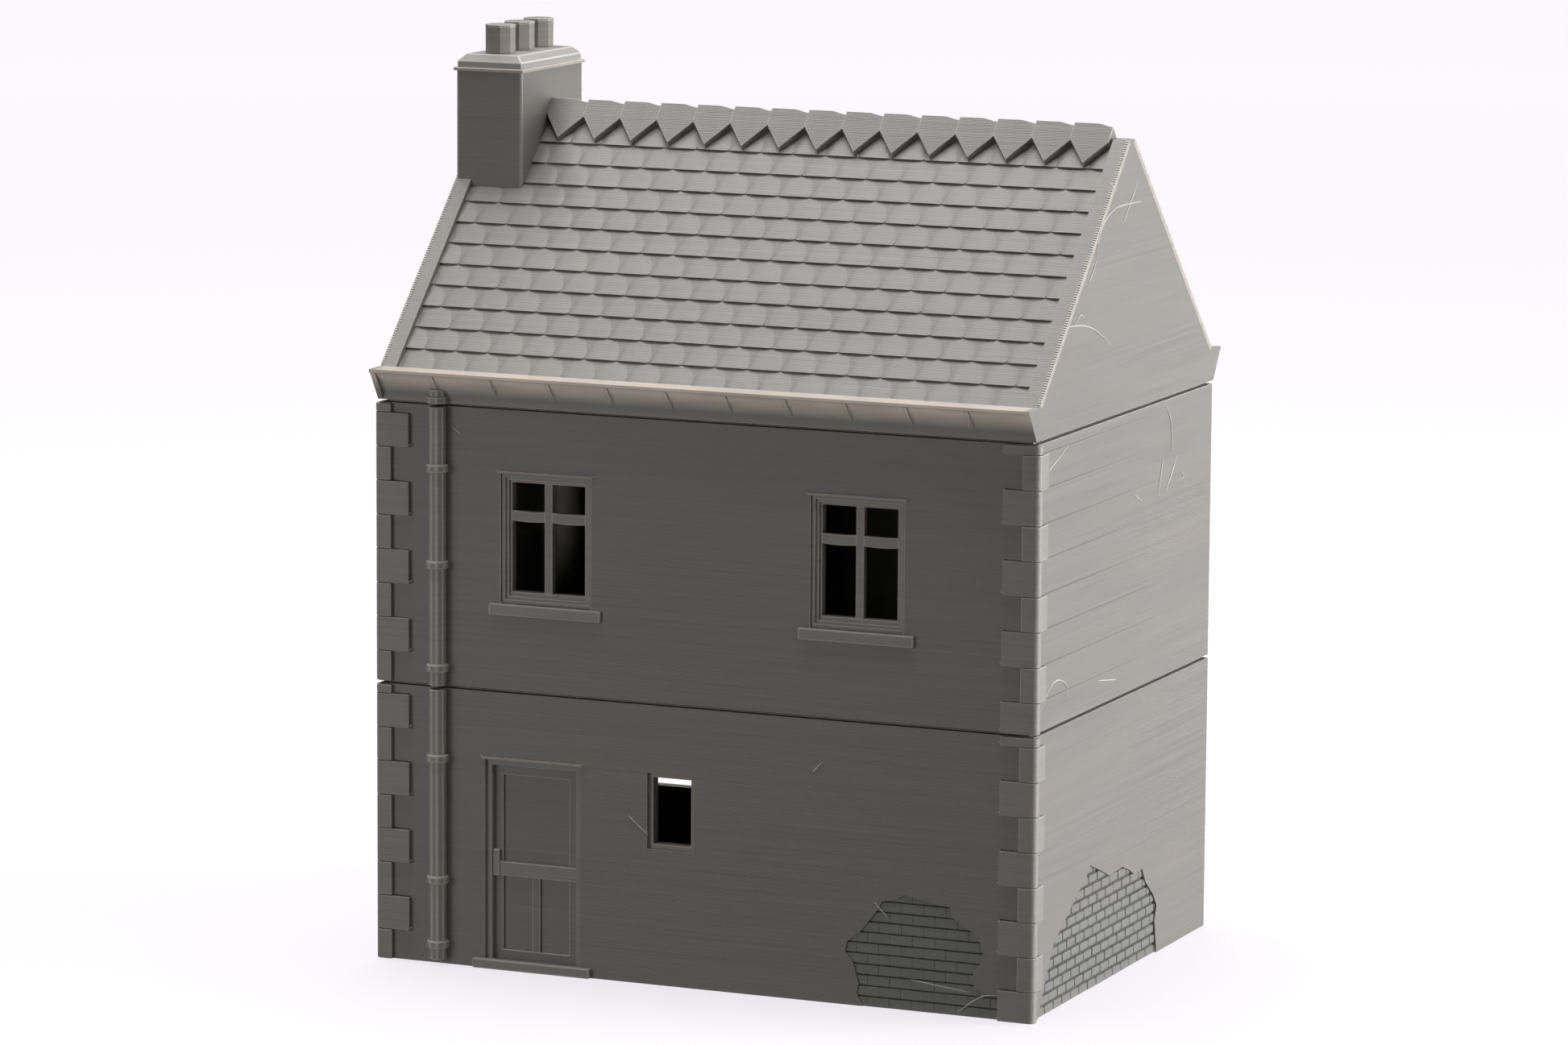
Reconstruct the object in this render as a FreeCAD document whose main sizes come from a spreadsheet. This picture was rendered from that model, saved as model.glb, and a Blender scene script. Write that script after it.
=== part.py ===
import FreeCAD, Part
import Sketcher
import math
import os
import re

# A gaming-terrain town house made as three prints that stack: a ground floor,
# an upper floor and a roof with its chimney.  +Z is up, the street front faces
# -Y, and the origin is under the middle of the house on the table.

SIZES = {
    # outer walls of every storey
    "width": 100.0,
    "depth": 70.0,
    "storey": 40.0,
    "wall": 2.4,
    "floor_plate": 1.6,
    # how an upper print sits on the one below it
    "seam": 0.45,
    "seam_inset": 1.0,
    "lip_drop": 2.0,
    "lip_wall": 1.6,
    "fit_gap": 0.3,
    # corner stones on the front
    "quoin_first": 4.4,
    "quoin_course": 4.9,
    "quoin_joint": 0.25,
    "quoin_relief": 0.6,
    "quoin_long": 5.4,
    "quoin_short": 2.6,
    "quoin_side_long": 3.4,
    "quoin_side_short": 1.2,
    # stepped four-pane windows of the upper floor
    "win_width": 14.0,
    "win_height": 18.6,
    "win_sill_height": 12.4,
    "win_left": -24.0,
    "win_right": 23.5,
    "win_step": 0.45,
    "win_step_depth": 0.33,
    "win_frame": 1.36,
    "win_rail": 1.64,
    "win_bar": 1.25,
    "win_transom": 1.46,
    "win_top_pane": 4.0,
    "sill_thick": 1.7,
    "sill_overhang": 1.65,
    "sill_reach": 0.6,
    "head_lip": 0.35,
    # plain windows of the ground floor
    "slot_width": 7.2,
    "slot_height": 10.9,
    "slot_sill_height": 19.45,
    "slot_middle": -4.6,
    "slot_frame": 0.69,
    "slot_frame_depth": 0.6,
    "rear_slot_width": 10.4,
    "rear_slot_sill_height": 13.5,
    "rear_slot_middle": -35.4,
    # front door
    "door_width": 14.9,
    "door_head_height": 30.3,
    "door_middle": -26.0,
    "door_jamb": 0.85,
    "door_jamb_depth": 0.5,
    "door_stile": 1.45,
    "door_leaf_depth": 1.3,
    "door_panel_depth": 1.65,
    "door_bottom_rail": 1.2,
    "door_rail_height": 11.9,
    "door_rail": 2.1,
    "door_rail_relief": 0.3,
    "door_muntin": 1.25,
    "latch_width": 1.0,
    "latch_height": 3.9,
    "latch_relief": 0.55,
    "step_height": 1.45,
    "step_overhang": 1.7,
    "step_reach": 0.8,
    # rainwater pipe on the front
    "pipe_width": 2.3,
    "pipe_middle": -40.5,
    "pipe_stand": 0.9,
    "pipe_foot": 0.8,
    "collar_width": 3.0,
    "collar_height": 1.2,
    "stub_height": 2.0,
    "stub_collar": 1.0,
    # patches of fallen plaster with bricks showing
    "brick_recess": 0.25,
    "mortar_recess": 0.6,
    "brick_course": 1.52,
    "mortar_joint": 0.3,
    # roof slopes
    "pitch": 45.0,
    "eave_rise": 4.3,
    "apex_flat": 2.2,
    "verge_width": 2.4,
    "tile_recess": 0.8,
    "tile_step": 0.5,
    "course_start": 1.3,
    "course_pitch": 3.86,
    "roof_shell": 2.4,
    # eaves moulding and its brackets
    "gutter_reach": 3.4,
    "gutter_top": 4.6,
    "gutter_lip": 0.3,
    "gutter_lip_height": 0.5,
    "cove_start": 0.7,
    "cove_radius": 5.2,
    "bracket_width": 0.8,
    "bracket_count": 12,
    "bracket_foot": 1.3,
    # pointed ridge tiles
    "ridge_count": 15,
    "ridge_thick": 1.5,
    "ridge_tip": 5.5,
    "ridge_notch": 1.5,
    "ridge_end_gap": 0.4,
    # chimney on the left gable
    "stack_width": 10.5,
    "stack_depth": 20.6,
    "stack_rise": 45.1,
    "rim_height": 0.5,
    "rim_reach": 0.3,
    "cap_inset": 0.15,
    "cap_band": 0.9,
    "cap_slope": 1.0,
    "pot_width": 4.0,
    "pot_height": 4.2,
    "pot_spacing": 6.4,
    # how far a cutting shape runs past the face it opens, and a joined shape into its wall
    "overcut": 1.0,
    "bite": 0.5,
}

LEFT = "-width / 2"
RIGHT = "width / 2"
FRONT = "-depth / 2"
BACK = "depth / 2"
STOREY_TOP = "storey + seam"
OCTAGON = 8
WINDOW_STEPS = 3

# heights of the pipe's collars above the bottom edge of each storey's wall
GROUND_COLLARS = (3.0, 12.4, 30.0)
UPPER_COLLARS = (2.6, 17.4, 31.2)

# broken edges of the fallen plaster: along the wall from the right front corner, and height
FRONT_PATCH = (
    (0.0, 0.0), (-25.2, 0.0), (-26.1, 1.7), (-25.8, 3.2), (-26.7, 6.0), (-27.9, 7.6), (-27.6, 9.0),
    (-25.6, 10.6), (-23.0, 13.9), (-22.4, 15.1), (-20.2, 15.6), (-18.9, 16.4), (-15.0, 15.7),
    (-12.2, 15.2), (-11.7, 13.7), (-8.2, 11.6), (-7.1, 9.6), (-7.4, 7.9), (-9.3, 5.1), (-7.6, 3.8),
    (-4.6, 3.4), (0.0, 3.4),
)
SIDE_PATCH = (
    (2.6, 0.0), (5.2, 4.6), (7.4, 8.1), (8.6, 9.8), (11.6, 11.3), (17.0, 14.6), (20.4, 16.1),
    (22.4, 18.0), (26.8, 16.4), (30.1, 15.1), (35.5, 15.3), (38.3, 14.3), (40.2, 13.4), (43.6, 13.5),
    (45.0, 11.3), (48.3, 8.8), (49.8, 7.0), (49.0, 4.8), (49.9, 0.0),
)

doc = FreeCAD.newDocument("terrain_house")
sheet = doc.addObject("Spreadsheet::Sheet", "sizes")
for row, (alias, number) in enumerate(SIZES.items(), start=1):
    sheet.set(f"A{row}", alias)
    sheet.set(f"B{row}", str(number))
    sheet.setAlias(f"B{row}", alias)
doc.recompute()


def size(alias):
    """The number in one cell of the sheet."""
    return float(sheet.get(alias))


def rule(text):
    """A formula of size names, as an expression on the sheet."""
    names = "|".join(sorted(SIZES, key=len, reverse=True))
    return re.sub(rf"\b({names})\b", r"sizes.\1", text)


def place(item, x="0", y="0", z="0"):
    """Bind an object's position to three formulas."""
    for axis, text in zip("xyz", (x, y, z)):
        item.setExpression(f"Placement.Base.{axis}", rule(text))
    return item


def box(name, x, y, z):
    """A box between the low and high formulas of each axis."""
    item = doc.addObject("Part::Box", name)
    for side, (low, high) in zip(("Length", "Width", "Height"), (x, y, z)):
        item.setExpression(side, rule(f"({high}) - ({low})"))
    return place(item, x[0], y[0], z[0])


def ring_around(name, inset, z):
    """A box as wide and deep as the house, less an inset on each side."""
    return box(name, (f"{LEFT} + {inset}", f"{RIGHT} - ({inset})"),
               (f"{FRONT} + {inset}", f"{BACK} - ({inset})"), z)


def gable_prism(name, x, half_depth, z, top_half):
    """A prism along X whose two long sides slope in from half_depth to top_half."""
    item = doc.addObject("Part::Wedge", name)
    item.Placement.Rotation = FreeCAD.Rotation(FreeCAD.Vector(1, 0, 0), 90)
    bounds = {
        "Xmin": x[0], "Xmax": x[1], "X2min": x[0], "X2max": x[1], "Ymin": z[0], "Ymax": z[1],
        "Zmin": f"-({half_depth})", "Zmax": half_depth, "Z2min": f"-({top_half})", "Z2max": top_half,
    }
    for bound, text in bounds.items():
        item.setExpression(bound, rule(text))
    return item


def octagon_prism(name, across_flats, x, y, z):
    """An upright eight-sided prism with one flat facing the front."""
    item = doc.addObject("Part::Prism", name)
    item.Polygon = OCTAGON
    item.setExpression("Circumradius", rule(f"{across_flats} / 2 / cos(180 / {OCTAGON})"))
    item.setExpression("Height", rule(f"({z[1]}) - ({z[0]})"))
    item.Placement.Rotation = FreeCAD.Rotation(FreeCAD.Vector(0, 0, 1), 180 / OCTAGON)
    return place(item, x, y, z[0])


def outline_prism(name, points, direction, length):
    """A closed outline of straight edges, drawn out along a direction."""
    outline = doc.addObject("Part::Polygon", f"{name}_outline")
    outline.Nodes = [FreeCAD.Vector(*point) for point in points]
    outline.Close = True
    item = doc.addObject("Part::Extrusion", name)
    item.Base = outline
    item.DirMode = "Custom"
    item.Dir = FreeCAD.Vector(*direction)
    item.Solid = True
    item.setExpression("LengthFwd", rule(length))
    return item


def fuse(name, items):
    """One solid out of several that touch or overlap."""
    item = doc.addObject("Part::MultiFuse", name)
    item.Shapes = items
    return item


def shared(name, items):
    """What several solids have in common."""
    item = doc.addObject("Part::MultiCommon", name)
    item.Shapes = items
    return item


def cut(name, base, tools):
    """A solid less several others."""
    item = doc.addObject("Part::Cut", name)
    item.Base = base
    item.Tool = tools[0] if len(tools) == 1 else fuse(f"{name}_tools", tools)
    return item


def mirror(name, source):
    """The same shape on the other side of the ridge line."""
    item = doc.addObject("Part::Mirroring", name)
    item.Source = source
    item.Normal = FreeCAD.Vector(0, 1, 0)
    return item


def pocket(name, side, x, z, into):
    """A cut into the front or back wall, to a stated depth."""
    if side == "front":
        return box(name, x, (f"{FRONT} - overcut", f"{FRONT} + {into}"), z)
    return box(name, x, (f"{BACK} - ({into})", f"{BACK} + overcut"), z)


def ledge(name, side, x, z, reach):
    """A bar standing out from the front or back wall."""
    if side == "front":
        return box(name, x, (f"{FRONT} - ({reach})", f"{FRONT} + bite"), z)
    return box(name, x, (f"{BACK} - bite", f"{BACK} + {reach}"), z)


def about(middle, half):
    """The span that reaches half to either side of a middle."""
    return (f"{middle} - ({half})", f"{middle} + ({half})")


def quoins(prefix, foot):
    """Corner stones up both front corners, long and short in turn."""
    first, course, storey = size("quoin_first"), size("quoin_course"), size("storey")
    rows = 1 + math.ceil((storey - first) / course)
    stones = []
    for row in range(rows):
        low = "0" if row == 0 else f"quoin_first + {row - 1} * quoin_course"
        high = "storey" if row == rows - 1 else f"quoin_first + {row} * quoin_course - quoin_joint"
        z = (f"{foot} + {low}", f"{foot} + {high}")
        for side, long_front in (("left", row % 2 == 1), ("right", row % 2 == 0)):
            along = "quoin_long" if long_front else "quoin_short"
            back = "quoin_side_short" if long_front else "quoin_side_long"
            x = (f"{LEFT} - quoin_relief", f"{LEFT} - quoin_relief + {along}")
            if side == "right":
                x = (f"{RIGHT} + quoin_relief - {along}", f"{RIGHT} + quoin_relief")
            y = (f"{FRONT} - quoin_relief", f"{FRONT} - quoin_relief + {back}")
            stones.append(box(f"{prefix}_quoin_{side}_{row}", x, y, z))
    return stones


def pipe(prefix, foot, low, high, collars):
    """A length of rainwater pipe with its collars."""
    at_y = f"{FRONT} - pipe_stand"
    lengths = [octagon_prism(f"{prefix}_pipe", "pipe_width", "pipe_middle", at_y, (low, high))]
    for number, height in enumerate(collars):
        z = about(f"{foot} + {height}", "collar_height / 2")
        collar = octagon_prism(f"{prefix}_collar_{number}", "collar_width", "pipe_middle", at_y, z)
        lengths.append(collar)
    return lengths


def stepped_window(name, side, middle):
    """Cuts and ledges of one window: a stepped frame, four panes, a sill and a head lip."""
    sill = "seam + win_sill_height"
    head = f"{sill} + win_height"
    cuts = []
    for step in range(WINDOW_STEPS):
        inset = f"{step} * win_step"
        x = about(middle, f"win_width / 2 - {inset}")
        cuts.append(pocket(f"{name}_step_{step}", side, x, (f"{sill} + {inset}", f"{head} - {inset}"),
                           f"{step + 1} * win_step_depth"))
    outer, inner = "win_width / 2 - win_frame", "win_bar / 2"
    columns = (
        (f"{middle} - ({outer})", f"{middle} - {inner}"),
        (f"{middle} + {inner}", f"{middle} + {outer}"),
    )
    top_low = f"{head} - win_frame - win_top_pane"
    rows = ((f"{sill} + win_rail", f"{top_low} - win_transom"), (top_low, f"{head} - win_frame"))
    for column, x in enumerate(columns):
        for row, z in enumerate(rows):
            cuts.append(pocket(f"{name}_pane_{column}{row}", side, x, z, "wall + overcut"))
    sill_x = about(middle, "win_width / 2 + sill_overhang")
    ledges = [
        ledge(f"{name}_sill", side, sill_x, (f"{sill} - sill_thick", sill), "sill_reach"),
        ledge(f"{name}_head", side, about(middle, "win_width / 2 + head_lip"),
              (head, f"{head} + head_lip"), "head_lip"),
    ]
    return cuts, ledges


def slot_window(name, side, middle, sill, width):
    """Cuts of one plain window: a shallow frame and one opening without bars."""
    head = f"{sill} + slot_height"
    inset = "slot_frame"
    frame = pocket(f"{name}_frame", side, about(middle, f"{width} / 2"), (sill, head),
                   "slot_frame_depth")
    opening = pocket(f"{name}_opening", side, about(middle, f"{width} / 2 - {inset}"),
                     (f"{sill} + {inset}", f"{head} - {inset}"), "wall + overcut")
    return [frame, opening]


def front_door():
    """Cuts and raised pieces of the closed panelled door."""
    foot, head = "step_height", "door_head_height"
    leaf = "door_width / 2 - door_jamb"
    panel = f"{leaf} - door_stile"
    rail_low, rail_high = "door_rail_height + step_height", "door_rail_height + step_height + door_rail"
    left, right = f"door_middle - ({panel})", f"door_middle + {panel}"
    panel_low = f"{foot} + door_bottom_rail"
    panels = (
        ((left, right), (rail_high, f"{head} - door_jamb - door_stile")),
        ((left, "door_middle - door_muntin / 2"), (panel_low, rail_low)),
        (("door_middle + door_muntin / 2", right), (panel_low, rail_low)),
    )
    leaf_x = about("door_middle", leaf)
    cuts = [
        pocket("door_opening", "front", about("door_middle", "door_width / 2"), (foot, head),
               "door_jamb_depth"),
        pocket("door_leaf", "front", leaf_x, (foot, f"{head} - door_jamb"), "door_leaf_depth"),
    ]
    for number, (x, z) in enumerate(panels):
        cuts.append(pocket(f"door_panel_{number}", "front", x, z, "door_panel_depth"))
    leaf_face = f"{FRONT} + door_leaf_depth"
    leaf_left = f"door_middle - ({leaf})"
    latch_top = f"{rail_low} + latch_height"
    raised = [
        box("door_rail_bar", leaf_x, (f"{leaf_face} - door_rail_relief", f"{leaf_face} + bite"),
            (rail_low, rail_high)),
        box("door_latch", (leaf_left, f"{leaf_left} + latch_width"),
            (f"{leaf_face} - latch_relief", f"{leaf_face} + bite"), (rail_low, latch_top)),
        ledge("door_step", "front", about("door_middle", "door_width / 2 + step_overhang"),
              ("0", "step_height"), "step_reach"),
        ledge("door_head", "front", about("door_middle", "door_width / 2 + head_lip"),
              (head, f"{head} + head_lip"), "head_lip"),
    ]
    return cuts, raised


def brick_patch(name, points, turn, x, y):
    """Cuts of one fallen-plaster patch: the shallow bed of bricks and the mortar grooves."""
    cuts = []
    for layer, into in (("bed", "brick_recess"), ("mortar", "mortar_recess")):
        nodes = [(along, 0, height) for along, height in points]
        prism = outline_prism(f"{name}_{layer}", nodes, (0, 1, 0), f"{into} + overcut")
        prism.Placement.Rotation = FreeCAD.Rotation(FreeCAD.Vector(0, 0, 1), turn)
        cuts.append(place(prism, x, y))
    bed, mortar = cuts
    height = max(point[1] for point in points)
    grooves = []
    for course in range(1, 1 + int(height / size("brick_course"))):
        level = f"{course} * brick_course"
        grooves.append(ring_around(f"{name}_groove_{course}", "-overcut",
                                   (f"{level} - mortar_joint", level)))
    return [bed, shared(f"{name}_grooves", [mortar, fuse(f"{name}_levels", grooves)])]


def hollow(name, z):
    """The room inside the walls."""
    return ring_around(name, "wall", z)


def seat(prefix, top):
    """The land an upper print rests on and the lip that drops inside the walls below."""
    land = ring_around(f"{prefix}_land", "seam_inset", ("0", top))
    lip = ring_around(f"{prefix}_lip", "wall + fit_gap", ("-lip_drop", "bite"))
    room = ring_around(f"{prefix}_lip_room", "wall + fit_gap + lip_wall", ("-lip_drop - overcut", "0"))
    return land, cut(f"{prefix}_lip_ring", lip, [room])


def ground_floor():
    """Front door, two plain windows, two brick patches, closed by its own floor."""
    walls = ring_around("ground_walls", "0", ("0", "storey"))
    door_cuts, door_raised = front_door()
    cuts = [hollow("ground_room", ("floor_plate", "storey + overcut"))] + door_cuts
    cuts += slot_window("slot", "front", "slot_middle", "slot_sill_height", "slot_width")
    cuts += slot_window("rear_slot", "back", "rear_slot_middle", "rear_slot_sill_height",
                        "rear_slot_width")
    cuts += brick_patch("front_patch", FRONT_PATCH, 0, RIGHT, f"{FRONT} - overcut")
    cuts += brick_patch("side_patch", SIDE_PATCH, 90, f"{RIGHT} + overcut", FRONT)
    shell = cut("ground_shell", walls, cuts)
    return fuse("ground_floor", [shell] + door_raised + quoins("ground", "0")
                + pipe("ground", "0", "pipe_foot", "storey", GROUND_COLLARS))


def upper_floor():
    """Four stepped windows in front and behind, with a floor that sits in the walls below."""
    walls = ring_around("upper_walls", "0", ("seam", STOREY_TOP))
    cuts = [hollow("upper_room", ("floor_plate", f"{STOREY_TOP} + overcut"))]
    ledges = []
    for side in ("front", "back"):
        for middle in ("win_left", "win_right"):
            window_cuts, window_ledges = stepped_window(f"{side}_{middle}", side, middle)
            cuts += window_cuts
            ledges += window_ledges
    shell = cut("upper_shell", walls, cuts)
    land, lip = seat("upper", "floor_plate")
    item = fuse("upper_floor", [shell, land, lip] + ledges + quoins("upper", "seam")
                + pipe("upper", "seam", "seam", STOREY_TOP, UPPER_COLLARS))
    return place(item, z="storey")


TILE_EAVE = "seam + eave_rise - tile_recess / cos(pitch)"
TILE_APEX = f"{TILE_EAVE} + depth / 2 * tan(pitch)"
FIELD = (f"{LEFT} + verge_width", f"{RIGHT} - verge_width")


def tile_courses():
    """Rows of tiles up the front slope, each lower edge standing over the row below."""
    slope = size("depth") / 2 / math.cos(math.radians(size("pitch")))
    count = int((slope - size("course_start")) / size("course_pitch"))
    tilt = "asin(tile_step / course_pitch)"
    courses = []
    for number in range(count):
        item = box(f"course_{number}", FIELD, ("0", f"course_pitch / cos({tilt})"), ("0", "tile_step"))
        item.Placement.Rotation = FreeCAD.Rotation(FreeCAD.Vector(1, 0, 0), 1)
        item.setExpression("Placement.Rotation.Angle", rule(f"pitch * 1 deg - {tilt}"))
        up = f"(course_start + {number} * course_pitch)"
        place(item, FIELD[0], f"{FRONT} + {up} * cos(pitch)", f"{TILE_EAVE} + {up} * sin(pitch)")
        courses.append(item)
    return courses


def ridge_comb():
    """The front half of the pointed ridge tiles, one plate with a point for each tile."""
    start = -size("width") / 2 + size("stack_width")
    end = size("width") / 2 - size("verge_width") - size("ridge_end_gap")
    count = int(size("ridge_count"))
    step = (end - start) / count
    over = size("ridge_thick") * math.tan(math.radians(size("pitch")))
    points = [(start - size("bite"), over, 0), (start - size("bite"), -size("ridge_notch"), 0)]
    for number in range(count):
        points.append((start + (number + 0.5) * step, -size("ridge_tip"), 0))
        points.append((start + (number + 1) * step, -size("ridge_notch"), 0))
    points.append((end, over, 0))
    comb = outline_prism("ridge_comb", points, (0, 0, 1), "ridge_thick")
    comb.Placement.Rotation = FreeCAD.Rotation(FreeCAD.Vector(1, 0, 0), size("pitch"))
    return place(comb, z=TILE_APEX)


def gutter_profile():
    """The end outline of the eaves moulding: a cove under a thin lip, with a flat top."""
    sketch = doc.addObject("Sketcher::SketchObject", "gutter_profile")
    reach, top, bite = size("gutter_reach"), size("gutter_top"), size("bite")
    lip, lip_height, start = size("gutter_lip"), size("gutter_lip_height"), size("cove_start")
    radius = size("cove_radius")
    foot = FreeCAD.Vector(0, start, 0)
    knee = FreeCAD.Vector(reach - lip, top - lip_height, 0)
    half = (knee - foot) / 2
    sag = radius - math.sqrt(radius ** 2 - half.Length ** 2)
    bulge = foot + half + FreeCAD.Vector(-half.y, half.x, 0).normalize() * sag
    corners = [knee, FreeCAD.Vector(reach, knee.y, 0), FreeCAD.Vector(reach, top, 0),
               FreeCAD.Vector(-bite, top, 0), FreeCAD.Vector(-bite, start, 0), foot]
    for low, high in zip(corners, corners[1:]):
        sketch.addGeometry(Part.LineSegment(low, high))
    arc = sketch.addGeometry(Part.Arc(foot, bulge, knee))
    begins_at_foot = sketch.getPoint(arc, 1).distanceToPoint(foot) < size("bite")
    arc_foot, arc_knee = (1, 2) if begins_at_foot else (2, 1)
    ties = [("Coincident", line, 2, line + 1, 1) for line in range(4)]
    ties += [("Coincident", 4, 2, arc, arc_foot), ("Coincident", arc, arc_knee, 0, 1)]
    ties += [("Horizontal", 0), ("Vertical", 1), ("Horizontal", 2), ("Vertical", 3), ("Horizontal", 4)]
    ties += [("PointOnObject", 4, 2, -2)]
    for tie in ties:
        sketch.addConstraint(Sketcher.Constraint(*tie))
    measures = (
        (("DistanceY", -1, 1, 4, 2, start), "cove_start"),
        (("DistanceX", 4, 1, 4, 2, bite), "bite"),
        (("DistanceX", -1, 1, 1, 1, reach), "gutter_reach"),
        (("DistanceY", -1, 1, 1, 2, top), "gutter_top"),
        (("DistanceX", 0, 1, 0, 2, lip), "gutter_lip"),
        (("DistanceY", 1, 1, 1, 2, lip_height), "gutter_lip_height"),
        (("Radius", arc, radius), "cove_radius"),
    )
    for arguments, alias in measures:
        number = sketch.addConstraint(Sketcher.Constraint(*arguments))
        sketch.setExpression(f"Constraints[{number}]", rule(alias))
    return sketch


def gutter():
    """The front eaves moulding along the whole wall, with its brackets."""
    moulding = doc.addObject("Part::Extrusion", "gutter_moulding")
    moulding.Base = gutter_profile()
    moulding.DirMode = "Normal"
    moulding.Solid = True
    moulding.setExpression("LengthFwd", rule("width"))
    # the profile's own X points out over the street and its Y points up
    moulding.Base.Placement.Rotation = FreeCAD.Rotation(
        FreeCAD.Vector(0, -1, 0), FreeCAD.Vector(0, 0, 1), FreeCAD.Vector(-1, 0, 0))
    place(moulding.Base, RIGHT, FRONT, "seam")
    pieces = [moulding]
    inner = size("gutter_lip_height")
    nodes = [(0, size("bite"), size("bracket_foot")),
             (0, -size("gutter_lip"), size("bracket_foot")),
             (0, -size("gutter_reach") + size("gutter_lip"), size("gutter_top") - inner),
             (0, size("bite"), size("gutter_top") - inner)]
    count = int(size("bracket_count"))
    for number in range(count):
        bracket = outline_prism(f"bracket_{number}", nodes, (1, 0, 0), "bracket_width")
        along = f"{LEFT} + {number} * (width - bracket_width) / {count - 1}"
        pieces.append(place(bracket, along, FRONT, "seam"))
    return pieces


def slope_block(name, x, eave, half_top):
    """The solid under one pair of slopes: upright to the eaves, then pitched to a flat top."""
    low = box(f"{name}_eaves", x, (FRONT, BACK), ("seam", eave))
    rise = f"(depth / 2 - {half_top}) * tan(pitch)"
    return [low, gable_prism(f"{name}_slopes", x, "depth / 2", (eave, f"{eave} + {rise}"), half_top)]


def chimney():
    """Stack, rim, sloping cap and three pots, astride the ridge at the left gable."""
    x = (LEFT, f"{LEFT} + stack_width")
    top = "seam + stack_rise"
    half = "stack_depth / 2"
    stack = box("stack", x, about("0", half), (TILE_EAVE, top))
    rim = box("stack_rim", (f"{x[0]} - rim_reach", f"{x[1]} + rim_reach"),
              about("0", f"{half} + rim_reach"), (f"{top} - rim_height", top))
    band_x = (f"{x[0]} + cap_inset", f"{x[1]} - cap_inset")
    band_top = f"{top} + cap_band"
    band = box("cap_band_block", band_x, about("0", f"{half} - cap_inset"), (top, band_top))
    cap_top = f"{band_top} + cap_slope"
    cap = gable_prism("cap_slopes", band_x, f"{half} - cap_inset", (band_top, cap_top),
                      f"{half} - cap_inset - cap_slope")
    cap.setExpression("X2min", rule(f"{band_x[0]} + cap_slope"))
    cap.setExpression("X2max", rule(f"{band_x[1]} - cap_slope"))
    pots = []
    for number in (-1, 0, 1):
        pots.append(octagon_prism(f"pot_{number + 1}", "pot_width", f"{LEFT} + stack_width / 2",
                                  f"{number} * pot_spacing", (cap_top, f"{cap_top} + pot_height")))
    return [stack, rim, band, cap] + pots


def roof_space():
    """The attic hollow, open below."""
    inner = "depth / 2 - wall"
    x = (f"{LEFT} + wall", f"{RIGHT} - wall")
    knee = f"{TILE_APEX} - roof_shell / cos(pitch) - ({inner}) * tan(pitch)"
    rise = f"({inner} - apex_flat / 2) * tan(pitch)"
    low = hollow("attic_low", ("-overcut", knee))
    return [low, gable_prism("attic_slopes", x, inner, (knee, f"{knee} + {rise}"), "apex_flat / 2")]


def roof():
    """Tiled slopes between raised verges, eaves mouldings, ridge tiles and the chimney."""
    half_flat = "apex_flat / 2"
    blocks = slope_block("tiled", (LEFT, RIGHT), TILE_EAVE, half_flat)
    verge_eave = "seam + eave_rise"
    blocks += slope_block("left_verge", (LEFT, FIELD[0]), verge_eave, half_flat)
    blocks += slope_block("right_verge", (FIELD[1], RIGHT), verge_eave, half_flat)
    front = fuse("front_slope", tile_courses() + [ridge_comb()] + gutter())
    stub = []
    for across, height in (("pipe_width", "stub_height"), ("collar_width", "stub_collar")):
        stub.append(octagon_prism(height, across, "pipe_middle", f"{FRONT} - pipe_stand",
                                  ("seam", f"seam + {height}")))
    land, lip = seat("roof", "seam + bite")
    solid = fuse("roof_solid", blocks + [front, mirror("back_slope", front), land] + stub + chimney())
    shell = cut("roof_shell_cut", solid, roof_space())
    ledge_block = ring_around("roof_ledge_block", "wall - bite", ("0", "floor_plate"))
    ledge_room = ring_around("roof_ledge_room", "wall + fit_gap + lip_wall",
                             ("-overcut", "floor_plate + overcut"))
    ledge_ring = cut("roof_ledge", ledge_block, [ledge_room])
    item = fuse("roof", [shell, ledge_ring, lip])
    return place(item, z="storey + storey + seam")


def finish(node):
    """Name a finished print and check it."""
    node.Label = node.Name
    shape = node.Shape
    if shape.isNull() or not shape.isValid() or len(shape.Solids) != 1:
        raise RuntimeError(f"{node.Label} is not one sound solid")


nodes = [ground_floor(), upper_floor(), roof()]
doc.recompute()
for item in doc.Objects:
    if "Invalid" in item.State or "Error" in item.State:
        raise RuntimeError(f"{item.Name} failed")
for node in nodes:
    finish(node)
os.makedirs("parts", exist_ok=True)
for node in nodes:
    node.Shape.exportStep(f"parts/{node.Label}.step")
    print(node.Label, round(node.Shape.Volume, 1), "mm3", node.Shape.BoundBox)
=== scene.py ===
"""Looks of the stacking terrain house: printed grey plastic, every stone, tile and frame its own mesh.

Sizes are in millimetres and turn into metres when a mesh is made.  +Z is up and the street front
faces -Y.  Each storey's pieces ride on the body of the print they belong to.
"""

import math
import random

import bmesh
import bpy
from mathutils import Matrix, Vector

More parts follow.
